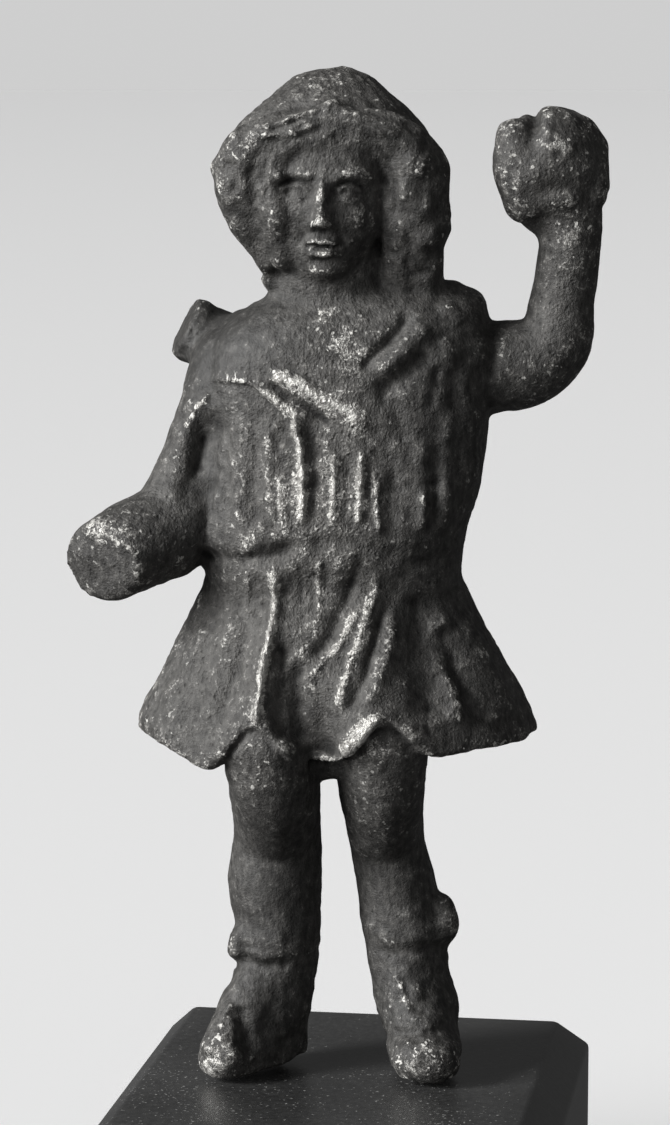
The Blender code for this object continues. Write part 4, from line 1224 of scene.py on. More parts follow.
@dataclass(frozen=True)
class Wear:
    """Where hands and rubbing left the metal bright: x, z and radius on the front sheet, and strength; with
    painted highlights along the ridges, and broad patches of thin or darker patina, some of them painted
    shade.
    """

    spots: Rows = (
        (-5.2, 69.6, 1.4, 0.6), (-1.0, 67.6, 1.4, 0.4), (2.0, 65.8, 1.4, 0.4), (-9.8, 68.9, 1.2, 0.5),
        (-3.2, 58.6, 3.0, 0.8), (-4.4, 65.6, 1.2, 0.6), (-23.6, 54.2, 1.2, 1.2), (-21.6, 53.0, 1.1, 1.2),
        (-23.8, 50.8, 2.2, 0.2), (21.8, 92.1, 0.9, 1.6), (19.8, 92.0, 0.7, 1.0), (24.4, 94.0, 0.9, 0.8),
        (22.6, 84.8, 2.2, 0.6), (8.0, 0.7, 2.2, 0.6), (-12.4, 0.2, 1.6, 0.9), (-10.8, 2.4, 1.2, 0.6),
        (1.0, 72.9, 1.6, 0.8), (-1.0, 76.3, 1.5, 0.8), (6.4, 7.1, 1.8, 0.6), (3.0, 33.4, 1.6, 1.0),
        (-8.0, 36.2, 1.4, 0.8), (-7.2, 40.6, 1.0, 0.6), (-0.5, 97.8, 2.0, 0.6), (1.5, 70.6, 1.2, 0.6),
        (-7.8, 92.0, 1.1, 0.8), (2.0, 58.0, 2.2, 0.5), (-9.0, 11.4, 1.6, 0.4), (-12.8, 67.0, 1.0, 0.7),
        (2.4, 46.6, 1.2, 0.5), (8.4, 89.8, 1.2, 0.6), (-7.4, 29.6, 1.4, 0.6),
    )

    # Painted highlights along the ridges that the light picks out, partly real wear of the ridges: half
    # width, strength and points on the front sheet
    lines: Strokes = ridges(
        (0.34, 0.9, ((-12.2, 69.4), (-8.4, 69.2))), (0.5, 1.0, ((-7.6, 68.5), (-6.6, 67.6), (-3.9, 65.6))),
        (0.36, 1.5, ((-4.0, 66.0), (-3.5, 61.8), (-3.3, 57.7), (-3.4, 55.0))),
        (0.3, 0.9, ((-0.1, 61.0), (-0.2, 55.2))), (0.3, 1.0, ((2.6, 62.0), (2.4, 55.0))),
        (0.3, 0.8, ((4.1, 57.6), (4.3, 54.6))), (0.3, 0.7, ((-5.4, 58.8), (-5.2, 55.2))), (0.75, 0.9, BAND),
        (0.34, 0.8, SLEEVE_EDGE), (0.34, 1.3, ((-6.1, 50.6), (-5.8, 46.2), (-7.1, 40.4), (-8.0, 34.8))),
        (0.32, 0.8, ((4.5, 50.6), (2.7, 44.6), (1.1, 40.0), (0.0, 36.4))), (0.85, 0.7, HEM_ROLL),
        (0.3, 0.7, ((2.3, 46.6), (0.4, 43.2), (-2.0, 40.6))), (0.28, 0.8, ((-1.6, 51.4), (-1.8, 46.4))),
        (0.28, 0.5, ((12.2, 38.5), (12.3, 34.8))), (0.3, 0.9, LEFT_SEAM), (0.32, 0.8, RIGHT_SEAM),
    )
    # Broad patches where the patina is thin, or darker where below 0, on the front sheet; several rows below
    # 0 are painted shade
    broad: Rows = (
        (-7.5, 61.0, 6.5, 9.0, 0.4), (0.5, 60.0, 5.0, 9.0, 0.95), (-1.0, 70.0, 7.0, 5.0, 0.35),
        (-2.0, 46.0, 7.0, 8.0, 0.7), (-11.0, 40.0, 7.0, 8.0, 0.3), (3.5, 36.0, 5.0, 4.0, 0.35),
        (-7.0, 93.5, 6.0, 6.0, 0.05), (-1.0, 97.5, 6.0, 3.0, 0.1), (21.5, 93.6, 3.4, 1.8, -0.5),
        (22.4, 80.0, 3.5, 7.0, 0.35), (-23.6, 52.0, 3.5, 4.0, -0.25), (-8.0, 6.0, 5.0, 6.5, -0.55),
        (8.0, 6.0, 5.0, 7.5, -0.5), (-6.0, 20.0, 5.0, 9.0, -0.85), (6.0, 20.0, 5.0, 9.0, -0.5),
        # Painted shade: the rows below 0 on the shoulder, beside the lowered arm and down the torso's right
        (-10.5, 73.0, 6.0, 4.0, -1.5), (-12.2, 60.5, 1.7, 7.0, -1.0), (10.0, 62.0, 5.0, 14.0, -0.45),
        # Painted shade: the row below 0 on the right of the hair
        (9.0, 86.0, 4.0, 9.0, -0.4),
    )

    def at(self, flat: Array) -> Array:
        """Sum of the spots' mounds, exp(-(d/r)2), and of the lines, at each place of the front sheet.

        Args:
            flat: points on the sheet.

        Returns:
            Strength of the wear and of the painted highlights at each point.
        """
        spots = mounds(flat, tuple((x, z, radius, radius, strength) for x, z, radius, strength in self.spots))
        return spots + sum(line.relief(flat) for line in self.lines)


@dataclass(frozen=True)
class Casting:
    """The whole figure as one cast skin."""

    placing: Placing = Placing()
    sight: Sight = Sight()
    torso: Torso = Torso()
    skirt: Skirt = Skirt()
    arms: Arms = Arms()
    head: Head = Head()
    quiver: Quiver = Quiver()
    wear: Wear = Wear()
    legs: tuple[Leg, ...] = field(default_factory=lambda: (right_leg(), left_leg()))
    cell: float = 0.25
    softening: float = 0.5
    softening_rounds: int = 14
    triangles: int = 188_000
    # Cell of the lattice, height and seed of each layer of casting roughness
    roughness: Rows = ((3.2, 0.12, 11), (1.5, 0.1, 12), (0.8, 0.08, 13))
    # Noise that is pitted where it is high, the patches that it is multiplied by, and where pits start
    pit_noise: Rows = ((1.0, 1.0, 21),)
    pit_patches: Rows = ((4.0, 0.4, 22),)
    pit_level: float = 0.6
    pit_edge: Row = (0.32, 0.62)
    pit_depth: float = 0.14
    # Share of a stroke's height that the casting kept, and the noise that varies it
    kept: float = 0.62
    kept_noise: Rows = ((2.4, 0.2, 61), (1.1, 0.1, 62))
    # The face stays smoother: half width, middle height, half height, depth, and share gone
    smooth_face: Row = (4.6, -2.6, 5.4, -4.0, 0.6)
    # Cell of the lattice, shift and seed of each layer that makes the strokes wander
    wobble: Rows = ((3.0, 0.18, 51), (1.3, 0.11, 55))
    # Smoother patches, or rougher where below 0: place and half sizes on the front sheet, and share gone
    smooth: Rows = (
        (-9.5, 73.0, 5.5, 3.4, 0.5), (-17.0, 58.0, 5.5, 7.0, 0.6), (-5.8, 22.0, 5.5, 10.0, 0.6),
        (5.8, 22.0, 5.5, 9.0, 0.55), (22.4, 80.0, 4.5, 8.5, 0.75), (19.0, 71.5, 5.0, 4.5, 0.65),
        (21.4, 91.0, 6.0, 4.5, 0.5), (6.8, 71.8, 2.4, 3.4, 0.55), (-8.8, 5.5, 5.5, 6.0, -0.55),
        (8.6, 6.0, 5.0, 6.5, -0.55),
    )
    smooth_limits: Row = (-0.6, 0.85)
    # Places where forms run into each other: X, Y, Z, radius and share
    melted: Rows = (
        (21.4, -1.5, 91.0, 6.5, 0.7), (21.4, -1.0, 86.0, 4.0, 0.8), (-0.3, -1.0, 89.0, 13.5, 0.55),
        (-11.0, 2.0, 73.0, 4.6, 0.6), (-8.0, -0.6, 6.0, 6.5, 0.6), (8.6, -0.6, 6.0, 6.5, 0.6),
        (-6.2, -9.4, 33.0, 3.4, 0.3), (4.7, -9.2, 32.5, 3.4, 0.3), (17.0, 0.5, 70.0, 5.0, 0.6),
        (-7.4, 0.0, 12.6, 5.0, 0.6), (8.2, 0.0, 14.6, 5.2, 0.55), (-22.6, -6.4, 52.0, 5.0, 0.5),
        (-0.9, -4.6, 31.0, 3.2, 0.9),
    )
    melt_rounds: int = 40
    web: Rows = ((-0.9, -4.9, 32.7, 2.4), (-0.9, 1.0, 32.8, 2.5))
    # Broad swells and hollows on the front sheet: knees, and the cloth sunk between the thighs
    swells: Rows = (
        (-5.9, 24.6, 1.9, 2.2, 0.3), (5.2, 24.8, 1.8, 2.2, 0.3), (-1.4, 32.4, 1.8, 3.6, -1.2),
        (-3.4, 36.6, 2.2, 3.6, -0.4),
    )

    # Blurs that the relief is measured from, and weight and usual height of fine and of broad relief
    blur_rounds: tuple[int, int] = (8, 34)
    rises: Rows = ((0.55, 0.1), (0.45, 0.45))
    # Wear from relief, and from rubbing and painted highlights, hollowness from relief, which the material
    # darkens as painted shade, and the most of either
    rise_worn: float = 0.55
    rubbed_and_highlit_worn: float = 0.6
    rise_hollow: float = 0.8
    worn_limit: float = 1.5
    # Factor on the wear where the patina is thickest, and what thin patina adds to it
    thin_worn: Row = (0.4, 1.2)

    def grids(self) -> list[Array]:
        """Every closed surface of the figure, overlapping where they join.

        Returns:
            The grid of each form.
        """
        forms = self.torso.forms() + self.arms.forms() + self.quiver.forms() + [Tube(self.web)]
        grids = [form.grid() for form in forms]
        grids.append(self.skirt.grid())
        for leg in self.legs:
            grids += leg.grids()
        return grids + self.head.grids()

    def fused(self) -> bpy.types.Mesh:
        """The surfaces made one skin: rebuilt on cubes of one cell, then softened.

        Returns:
            A closed mesh of quads.
        """
        source = linked("casting_source", stitched("casting_source", self.grids()))
        remesh = source.modifiers.new("fuse", "REMESH")
        remesh.mode = "VOXEL"
        remesh.voxel_size = self.cell
        soften = source.modifiers.new("soften", "SMOOTH")
        soften.factor = self.softening
        soften.iterations = self.softening_rounds
        mesh = applied(source)
        drop_crumbs(mesh)
        return mesh

    def carve(self, skin: Skin) -> None:
        """Cut folds, locks, face, flaws and wear into the skin, and level the soles.

        Args:
            skin: the fused skin.
        """
        self.melt(skin)
        strokes = [*self.torso.front, *self.skirt.front, *self.arms.front]
        strokes += [*self.head.hearts(), *self.head.front]
        for leg in self.legs:
            strokes += leg.creases
        sheet = self.sight.flat(skin.points) + self.wander(skin.points)
        seen = sum(stroke.relief(sheet) for stroke in strokes) * self.uneven(skin.points)
        seen += mounds(sheet, self.swells)
        behind = skin.points[:, [0, 2]] + self.wander(skin.points)
        strokes = [*self.torso.back, *self.skirt.back, *self.head.back]
        hidden = sum(stroke.relief(behind) for stroke in strokes) * self.uneven(skin.points)
        move = seen * self.sight.facing(skin.normals)
        move += hidden * self.sight.hidden(skin.normals)
        move += self.head.face_relief(skin) + self.head.combed_relief(skin) + self.quiver.bands(skin)
        skin.push(move)
        skin.push(self.flaws(skin) + self.arms.break_relief(skin) + self.arms.notch_relief(skin))
        skin.points[:, 2] = np.maximum(skin.points[:, 2], 0.0)
        skin.write()

    def melt(self, skin: Skin) -> None:
        """Blend each point towards the blurred skin, by a share that fades as exp(-(d/r)4) from the places.

        Args:
            skin: the skin being carved.
        """
        share = np.zeros(skin.count)
        for *middle, radius, amount in self.melted:
            gap = np.linalg.norm(skin.points - np.asarray(middle), axis=1) / radius
            share = np.maximum(share, amount * np.exp(-(gap**4)))
        blurred = skin.relax(skin.points, self.melt_rounds)
        skin.points += share[:, None] * (blurred - skin.points)
        skin.write()

    def wander(self, points: Array) -> Array:
        """Small sideways shift of the sheet at each point, from two sizes of noise, so no line is straight.

        Args:
            points: places on the skin.

        Returns:
            Shift across and up.
        """
        shifts = [
            layered(points, tuple((cell, size, seed + axis) for cell, size, seed in self.wobble))
            for axis in (0, 1)
        ]
        return np.stack(shifts, axis=1)

    def uneven(self, points: Array) -> Array:
        """Share of each stroke's height that the casting kept."""
        return layered(points, self.kept_noise, self.kept)

    def calm(self, points: Array) -> Array:
        """Share of the roughness left at each point, least on bare arms and legs."""
        return 1 - np.clip(mounds(points[:, [0, 2]], self.smooth), *self.smooth_limits)

    def flaws(self, skin: Skin) -> Array:
        """Layers of noise for the uneven cast, less on the face, and pits where fine noise is highest.

        Args:
            skin: the skin being carved.

        Returns:
            Move of each point.
        """
        total = layered(skin.points, self.roughness)
        pits = layered(skin.points, self.pit_noise) * layered(skin.points, self.pit_patches, self.pit_level)
        total -= self.pit_depth * eased(pits, *self.pit_edge)
        wide, up, high, depth, share = self.smooth_face
        x, y, z = self.head.local(skin.points).T
        face = np.exp(-((x / wide) ** 4) - ((z - up) / high) ** 4) * (y < depth)
        return total * self.calm(skin.points) * (1 - share * face)

    def dress(self, mesh: bpy.types.Mesh) -> None:
        """Write how worn and how hollow each point is, from how far it stands off the blurred skin; the
        material darkens the hollows as painted shade.

        Args:
            mesh: the thinned skin, still in hundredths.
        """
        skin = Skin(mesh)
        near_rounds, wide_rounds = self.blur_rounds
        near = skin.relax(skin.points, near_rounds)
        wide = skin.relax(near, wide_rounds)
        fine = np.sum((skin.points - near) * skin.normals, axis=1)
        broad = np.sum((skin.points - wide) * skin.normals, axis=1)
        (fine_weight, fine_height), (broad_weight, broad_height) = self.rises
        rise = fine_weight * fine / fine_height + broad_weight * broad / broad_height
        sheet = self.sight.flat(skin.points) + self.wander(skin.points)
        # Wear spots, and painted highlights along the ridges that face the viewer
        rubbed = self.wear.at(sheet) * self.sight.facing(skin.normals)
        # How thin the patina is, which lightens the finish; broad rows below 0 darken it, some of them as
        # painted shade
        thin = np.clip(0.5 + 0.5 * mounds(sheet, self.wear.broad), 0.0, 1.0)
        least, gain = self.thin_worn
        worn = (self.rise_worn * rise + self.rubbed_and_highlit_worn * rubbed) * (least + gain * thin)
        worn = np.clip(worn, 0.0, self.worn_limit)
        hollow = np.clip(-self.rise_hollow * rise, 0.0, self.worn_limit)
        for name, values in (("worn", worn), ("hollow", hollow), ("thin", thin)):
            blurred = skin.relax(values[:, None], 2)[:, 0]
            layer = mesh.attributes.new(name, "FLOAT", "POINT")
            layer.data.foreach_set("value", blurred.astype(np.float32))

    def build(self, block_top: float, finish: "Patina") -> bpy.types.Object:
        """Fuse, carve, thin, place and finish the figure.

        Args:
            block_top: height of the block's top in metres.
            finish: the bronze's finish.

        Returns:
            The finished piece.
        """
        mesh = self.fused()
        LOG.info("figure: fused skin of %d points", len(mesh.vertices))
        self.carve(Skin(mesh))
        carved = linked("carved", mesh)
        thin = carved.modifiers.new("thin", "DECIMATE")
        thin.ratio = min(1.0, self.triangles / (2 * len(mesh.polygons)))
        thin.use_collapse_triangulate = True
        mesh = applied(carved)
        mesh.name = "cast_figure"
        self.dress(mesh)
        mesh.transform(self.placing.standing(block_top))
        mesh.shade_smooth()
        mesh.materials.clear()
        mesh.materials.append(finish.material())
        piece = linked("cast_figure", mesh)
        LOG.info("figure: %d triangles", len(mesh.polygons))
        return piece


@dataclass(frozen=True)
class MountBlock:
    """Varnished block with its upper edges cut back at 45 degrees and every edge eased."""

    chamfer: float = 0.0032
    corner: float = 0.0005
    ease: float = 0.00035
    arc_steps: int = 5
    side_steps: int = 12
    # First and last share of the rings that close top and bottom, and their number
    closing: Row = (0.9, 0.1, 8)
    sharp: float = math.radians(28.0)

    def outline(self, wide: float, deep: float) -> Array:
        """Rounded rectangle: straight sides with a quarter circle of the corner's radius between them.

        Args:
            wide: half width.
            deep: half depth.

        Returns:
            Points of the outline.
        """
        bend = np.linspace(0.0, 0.5 * math.pi, self.arc_steps)
        arc = self.corner * np.stack([np.cos(bend), np.sin(bend)], axis=1)
        corners = []
        for k, (sx, sy) in enumerate(((1, 1), (-1, 1), (-1, -1), (1, -1))):
            turned = arc @ np.asarray(Matrix.Rotation(-0.5 * math.pi * k, 2)).reshape(2, 2)
            corners.append(np.array([sx * (wide - self.corner), sy * (deep - self.corner)]) + turned)
        ring = np.concatenate(corners)
        ahead = np.roll(ring, -1, axis=0)
        long = np.linalg.norm(ahead - ring, axis=1) > 2 * self.corner
        pieces = []
        for start, end, is_side in zip(ring, ahead, long):
            steps = self.side_steps if is_side else 1
            share = np.linspace(0.0, 1.0, steps, endpoint=False)[:, None]
            pieces.append(start + (end - start) * share)
        return np.concatenate(pieces)

    def profile(self, height: float) -> Array:
        """Cut back and height of each ring, from the foot up the side and over the chamfer to the top.

        Args:
            height: height of the block.

        Returns:
            Rows of cut back and height.
        """
        e, c = self.ease, self.chamfer
        slant = e * math.sqrt(0.5)
        rows = (
            (e, 0.0), (0.3 * e, 0.3 * e), (0.0, e), (0.0, 0.5 * (height - c)), (0.0, height - c - e),
            (0.25 * slant, height - c - 0.1 * e), (slant, height - c + slant), (0.5 * c, height - 0.5 * c),
            (c - slant, height - slant), (c + 0.1 * e, height - 0.25 * slant), (c + e, height),
        )
        return np.asarray(rows)

    def build(self, finish: "Varnish") -> bpy.types.Object:
        """Carry the profile round the outline, and close top and bottom with shrinking rings.

        Args:
            finish: the block's finish.

        Returns:
            The finished piece.
        """
        low, high = (np.asarray(corner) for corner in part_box("mount_block"))
        middle = 0.5 * (low + high)
        wide, deep, height = 0.5 * (high[0] - low[0]), 0.5 * (high[1] - low[1]), high[2] - low[2]
        rings = [
            np.column_stack([self.outline(wide - cut, deep - cut), np.full(self.count(), low[2] + z)])
            for cut, z in self.profile(height)
        ]
        shrink = np.linspace(*self.closing)
        centre = np.array([0.0, 0.0, 1.0])
        under = [rings[0] * (1 - (1 - share) * (1 - centre)) for share in shrink[::-1]]
        over = [rings[-1] * (1 - (1 - share) * (1 - centre)) for share in shrink]
        grid = np.stack([*under, *rings, *over]) + np.array([middle[0], middle[1], 0.0])
        mesh = stitched("varnished_block", [grid])
        mesh.materials.append(finish.material())
        mesh.shade_smooth()
        mesh.set_sharp_from_angle(angle=self.sharp)
        LOG.info("block: %d faces", len(mesh.polygons))
        return linked("varnished_block", mesh)

    def count(self) -> int:
        """Points in one ring of the outline."""
        return 4 * (self.arc_steps - 1 + self.side_steps)


def stitched(name: str, grids: Sequence[Array]) -> bpy.types.Mesh:
    """Closed surfaces from grids: a quad for each cell round each grid, and a fan at both ends.

    Args:
        name: name of the mesh.
        grids: rings of points, level by side.

    Returns:
        One mesh that holds every surface.
    """
    points, quads, fans, first = [], [], [], 0
    for grid in grids:
        levels, sides, _ = grid.shape
        index = first + np.arange(levels * sides).reshape(levels, sides)
        onward = np.roll(index, -1, axis=1)
        quads.append(np.stack([index[:-1], onward[:-1], onward[1:], index[1:]], axis=2).reshape(-1, 4))
        start_pole, end_pole = first + levels * sides, first + levels * sides + 1
        fans.append(np.stack([np.full(sides, start_pole), onward[0], index[0]], axis=1))
        fans.append(np.stack([np.full(sides, end_pole), index[-1], onward[-1]], axis=1))
        points += [grid.reshape(-1, 3), grid[0].mean(axis=0)[None], grid[-1].mean(axis=0)[None]]
        first = end_pole + 1
    mesh = bpy.data.meshes.new(name)
    faces = np.concatenate(quads).tolist() + np.concatenate(fans).tolist()
    mesh.from_pydata(np.concatenate(points).tolist(), [], faces)
    mesh.update()
    return mesh


def linked(name: str, data: bpy.types.ID) -> bpy.types.Object:
    """A new object for a mesh, light or camera, in the scene."""
    made = bpy.data.objects.new(name, data)
    bpy.context.scene.collection.objects.link(made)
    return made


def applied(source: bpy.types.Object) -> bpy.types.Mesh:
    """An object's mesh with its modifiers applied; the object itself is removed.

    Args:
        source: object with modifiers.

    Returns:
        The finished mesh.
    """
    graph = bpy.context.evaluated_depsgraph_get()
    graph.update()
    result = bpy.data.meshes.new_from_object(source.evaluated_get(graph))
    bpy.data.objects.remove(source)
    return result


def edge_ends(mesh: bpy.types.Mesh) -> NDArray[np.int64]:
    """Numbers of the points at the two ends of every edge, as two rows.

    Args:
        mesh: the mesh to read.

    Returns:
        First and second end of each edge.
    """
    ends = np.empty(2 * len(mesh.edges), dtype=np.int64)
    mesh.edges.foreach_get("vertices", ends)
    return ends.reshape(-1, 2).T


def drop_crumbs(mesh: bpy.types.Mesh) -> None:
    """Delete every loose island but the largest: each point takes the lowest number met along the edges.

    Args:
        mesh: the mesh to clean.
    """
    first, second = edge_ends(mesh)
    island = np.arange(len(mesh.vertices))
    while np.any(island[first] != island[second]):
        low = np.minimum(island[first], island[second])
        np.minimum.at(island, island[first], low)
        np.minimum.at(island, island[second], low)
        island = island[island]
    crumbs = np.flatnonzero(island != np.bincount(island).argmax())
    work = bmesh.new()
    work.from_mesh(mesh)
    work.verts.ensure_lookup_table()
    bmesh.ops.delete(work, geom=[work.verts[k] for k in crumbs.tolist()], context="VERTS")
    work.to_mesh(mesh)
    work.free()


class Value:
    """A socket in a material's maths, so that an expression on values adds the nodes for it."""

    def __init__(self, book: "NodeBook", socket: bpy.types.NodeSocket) -> None:
        """Wrap a socket.

        Args:
            book: the material's nodes.
            socket: output that carries the value.
        """
        self.book = book
        self.socket = socket

    def math(self, operation: str, *others: Any) -> "Value":
        """A Math node on this value and the others."""
        inputs = dict(enumerate((self, *others)))
        return self.book.add("ShaderNodeMath", {"operation": operation}, inputs)

    def __add__(self, other: Any) -> "Value":
        """This plus other."""
        return self.math("ADD", other)

    __radd__ = __add__

    def __sub__(self, other: Any) -> "Value":
        """This minus other."""
        return self.math("SUBTRACT", other)

    def __rsub__(self, other: float) -> "Value":
        """Other minus this."""
        return self.book.add("ShaderNodeMath", {"operation": "SUBTRACT"}, {0: other, 1: self})

    def __mul__(self, other: Any) -> "Value":
        """This times other."""
        return self.math("MULTIPLY", other)

    def between(self, low: float, high: float) -> "Value":
        """Smooth step from 0 at low to 1 at high."""
        inputs = {"Value": self, "From Min": low, "From Max": high}
        return self.book.add("ShaderNodeMapRange", {"interpolation_type": "SMOOTHSTEP"}, inputs)

    def clipped(self) -> "Value":
        """This held between 0 and 1."""
        return self.book.add("ShaderNodeClamp", {}, {"Value": self})


class NodeBook:
    """A material's nodes, added by type, settings and socket values."""

    def __init__(self, name: str) -> None:
        """Start a material with one shader.

        Args:
            name: name of the material.
        """
        self.material = bpy.data.materials.new(name)
        self.material.use_nodes = True
        self.tree = self.material.node_tree
        self.shader = self.tree.nodes["Principled BSDF"]
        self.place = self.add("ShaderNodeTexCoord", {}, {}, "Object")

    def add(self, kind: str, settings: dict[str, Any], inputs: dict[Any, Any], output: Any = 0) -> Value:
        """Add one node.

        Args:
            kind: Blender's name of the node type.
            settings: properties set before the sockets are read.
            inputs: value or link of each socket, by name or number.
            output: name or number of the output to give back.

        Returns:
            The node's output.
        """
        node = self.tree.nodes.new(kind)
        for key, setting in settings.items():
            setattr(node, key, setting)
        for key, given in inputs.items():
            self.join(node.inputs[key], given)
        return Value(self, node.outputs[output])

    def join(self, socket: bpy.types.NodeSocket, given: Any) -> None:
        """Link or set one input socket.

        Args:
            socket: input to fill.
            given: a Value to link, or a plain value to set.
        """
        if isinstance(given, Value):
            self.tree.links.new(given.socket, socket)
        elif isinstance(given, tuple) and len(given) == 3 and socket.type == "RGBA":
            socket.default_value = (*given, 1.0)
        else:
            socket.default_value = given

    def noise(self, scale: float, detail: float = 2.0, roughness: float = 0.5, drawn: Row = ()) -> Value:
        """Fractal noise on the object's own coordinates, about 0 to 1.

        Args:
            scale: waves in a metre.
            detail: number of finer layers.
            roughness: strength of each finer layer against the one before.
            drawn: factors on the three axes that draw the noise out where they are below 1.

        Returns:
            The noise.
        """
        place = self.place
        if drawn:
            place = self.add("ShaderNodeMapping", {}, {"Vector": place, "Scale": drawn})
        inputs = {"Vector": place, "Scale": scale, "Detail": detail, "Roughness": roughness}
        return self.add("ShaderNodeTexNoise", {}, inputs, "Fac")

    def cells(self, scale: float) -> Value:
        """Distance to the nearest of scattered points, on the object's own coordinates."""
        return self.add("ShaderNodeTexVoronoi", {}, {"Vector": self.place, "Scale": scale}, "Distance")

    def layer(self, name: str) -> Value:
        """One of the mesh's own attributes."""
        return self.add("ShaderNodeAttribute", {"attribute_name": name}, {}, "Fac")

    def mixed(self, share: Any, one: Any, other: Any) -> Value:
        """Colour between one and other by a share."""
        return self.add("ShaderNodeMix", {"data_type": "RGBA"}, {0: share, 6: one, 7: other}, 2)

    def bump(self, height: Value, distance: float) -> Value:
        """Normal bent by a height."""
        return self.add("ShaderNodeBump", {}, {"Height": height, "Distance": distance})

    def set(self, **sockets: Any) -> None:
        """Fill the shader's own sockets, with underscores for the spaces in their names."""
        for key, given in sockets.items():
            self.join(self.shader.inputs[key.replace("_", " ")], given)


@dataclass(frozen=True)
class Patina:
    """Dark brown-black patina of an old cast bronze, rubbed brighter where it stands proud."""

    # deep: colour that the hollows are darkened to as painted shade, and the colour of the pits
    deep: Colour = (0.008, 0.0078, 0.0074)
    body: Colour = (0.025, 0.0242, 0.0228)
    pale: Colour = (0.092, 0.089, 0.084)
    # rubbed: colour of metal rubbed bright, also used for the painted highlights along the ridges
    rubbed: Colour = (0.23, 0.223, 0.21)
    speck: Colour = (0.55, 0.54, 0.51)
    roughness: float = 0.6
    grain_depth: float = 0.0002
    drawn_down: float = 0.4

    def material(self) -> bpy.types.Material:
        """Patina tones from slow noise, rubbed metal and painted highlights where the skin is worn, and
        painted shade where it is hollow.

        Returns:
            The material.
        """
        book = NodeBook("bronze")
        worn, hollow, thin = book.layer("worn"), book.layer("hollow"), book.layer("thin")
        cloud = book.noise(140.0, 3.0)
        mottle = book.noise(1000.0, 5.0, 0.62)
        grain = book.noise(4000.0, 3.0, 0.6)
        fleck = book.noise(1700.0, 2.0)
        pits = 1.0 - book.cells(1500.0).between(0.05, 0.34)
        streak = book.noise(2000.0, 3.0, 0.6, (1.0, 1.0, self.drawn_down))
        # thin carries the painted shade of some broad patches below 0, as well as the patina's thickness
        tone = (cloud * 0.5 + mottle * 1.2 + streak * 1.1 + thin * 0.6 - 1.25).between(0.0, 0.9)
        fine = (mottle - 0.5) * 2.2 + (grain - 0.5) * 2.2 + (streak - 0.5) * 1.2
        bright = (worn + thin * 0.5 + fine - 0.35).between(0.3, 1.05)
        # Painted shade: hollows, found from the relief, darkened towards the deep colour and varied by slow
        # noise
        hollow_shade = (hollow * 0.8 + (cloud - 0.5) * 0.5).between(0.12, 0.85)
        lines = 1.0 - (fleck - 0.5).math("ABSOLUTE").between(0.01, 0.045)
        crust = (worn + thin * 0.4 + (mottle - 0.5) * 2.4).between(0.65, 1.05) * lines
        specks = (fleck + worn * 0.12).between(0.66, 0.74) * (worn + thin * 0.3).between(0.15, 0.6)
        colour = book.mixed(tone, self.body, self.pale)
        colour = book.mixed(bright, colour, self.rubbed)
        colour = book.mixed(hollow_shade * 0.85, colour, self.deep)
        colour = book.mixed(pits * 0.35, colour, self.deep)
        colour = book.mixed((crust + specks).clipped(), colour, self.speck)
        height = (mottle * 1.0 + streak * 0.7 + grain * 0.6 - pits * 0.3) * (thin + 0.3)
        book.set(
            Base_Color=colour,
            Roughness=(self.roughness + (grain - 0.5) * 0.25 - bright * 0.2 + hollow_shade * 0.2).clipped(),
            Metallic=(0.08 + bright * 0.35).clipped(),
            Specular_IOR_Level=0.38,
            Normal=book.bump(height, self.grain_depth),
        )
        return book.material


@dataclass(frozen=True)
class Varnish:
    """Black satin varnish over wood, dulled and flecked with fine dust."""

    dark: Colour = (0.02, 0.02, 0.02)
    dull: Colour = (0.056, 0.056, 0.055)
    dust: Colour = (0.32, 0.32, 0.31)
    roughness: float = 0.42

    def material(self) -> bpy.types.Material:
        """Slow drift between dark and dull, with small specks of dust that come in patches.

        Returns:
            The material.
        """
        book = NodeBook("block_varnish")
        drift = book.noise(60.0, 3.0)
        patch = book.noise(110.0, 2.0)
        fine = book.noise(2800.0, 2.0)
        grain = book.noise(1500.0, 4.0, 0.6)
        colour = book.mixed((drift * 0.6 + grain * 0.7 - 0.15).between(0.2, 0.85), self.dark, self.dull)
        near = book.add("ShaderNodeSeparateXYZ", {}, {0: book.place}, "Y") * -1.6
        dust = (fine + (patch - 0.5) * 0.2 + near).between(0.665, 0.745)
        colour = book.mixed(dust * 0.8, colour, self.dust)
        book.set(
            Base_Color=colour,
            Roughness=(self.roughness + (grain - 0.5) * 0.3 + dust * 0.3).clipped(),
            Coat_Weight=(0.6 - dust * 0.4).clipped(),
            Coat_Roughness=0.3,
            Normal=book.bump(grain * 0.5 + fine * 0.4, 0.00006),
        )
        return book.material


@dataclass(frozen=True)
class Lamp:
    """One distant soft light: angle round to the viewer's left, angle up, strength and breadth."""

    name: str
    left: float
    up: float
    strength: float
    breadth: float


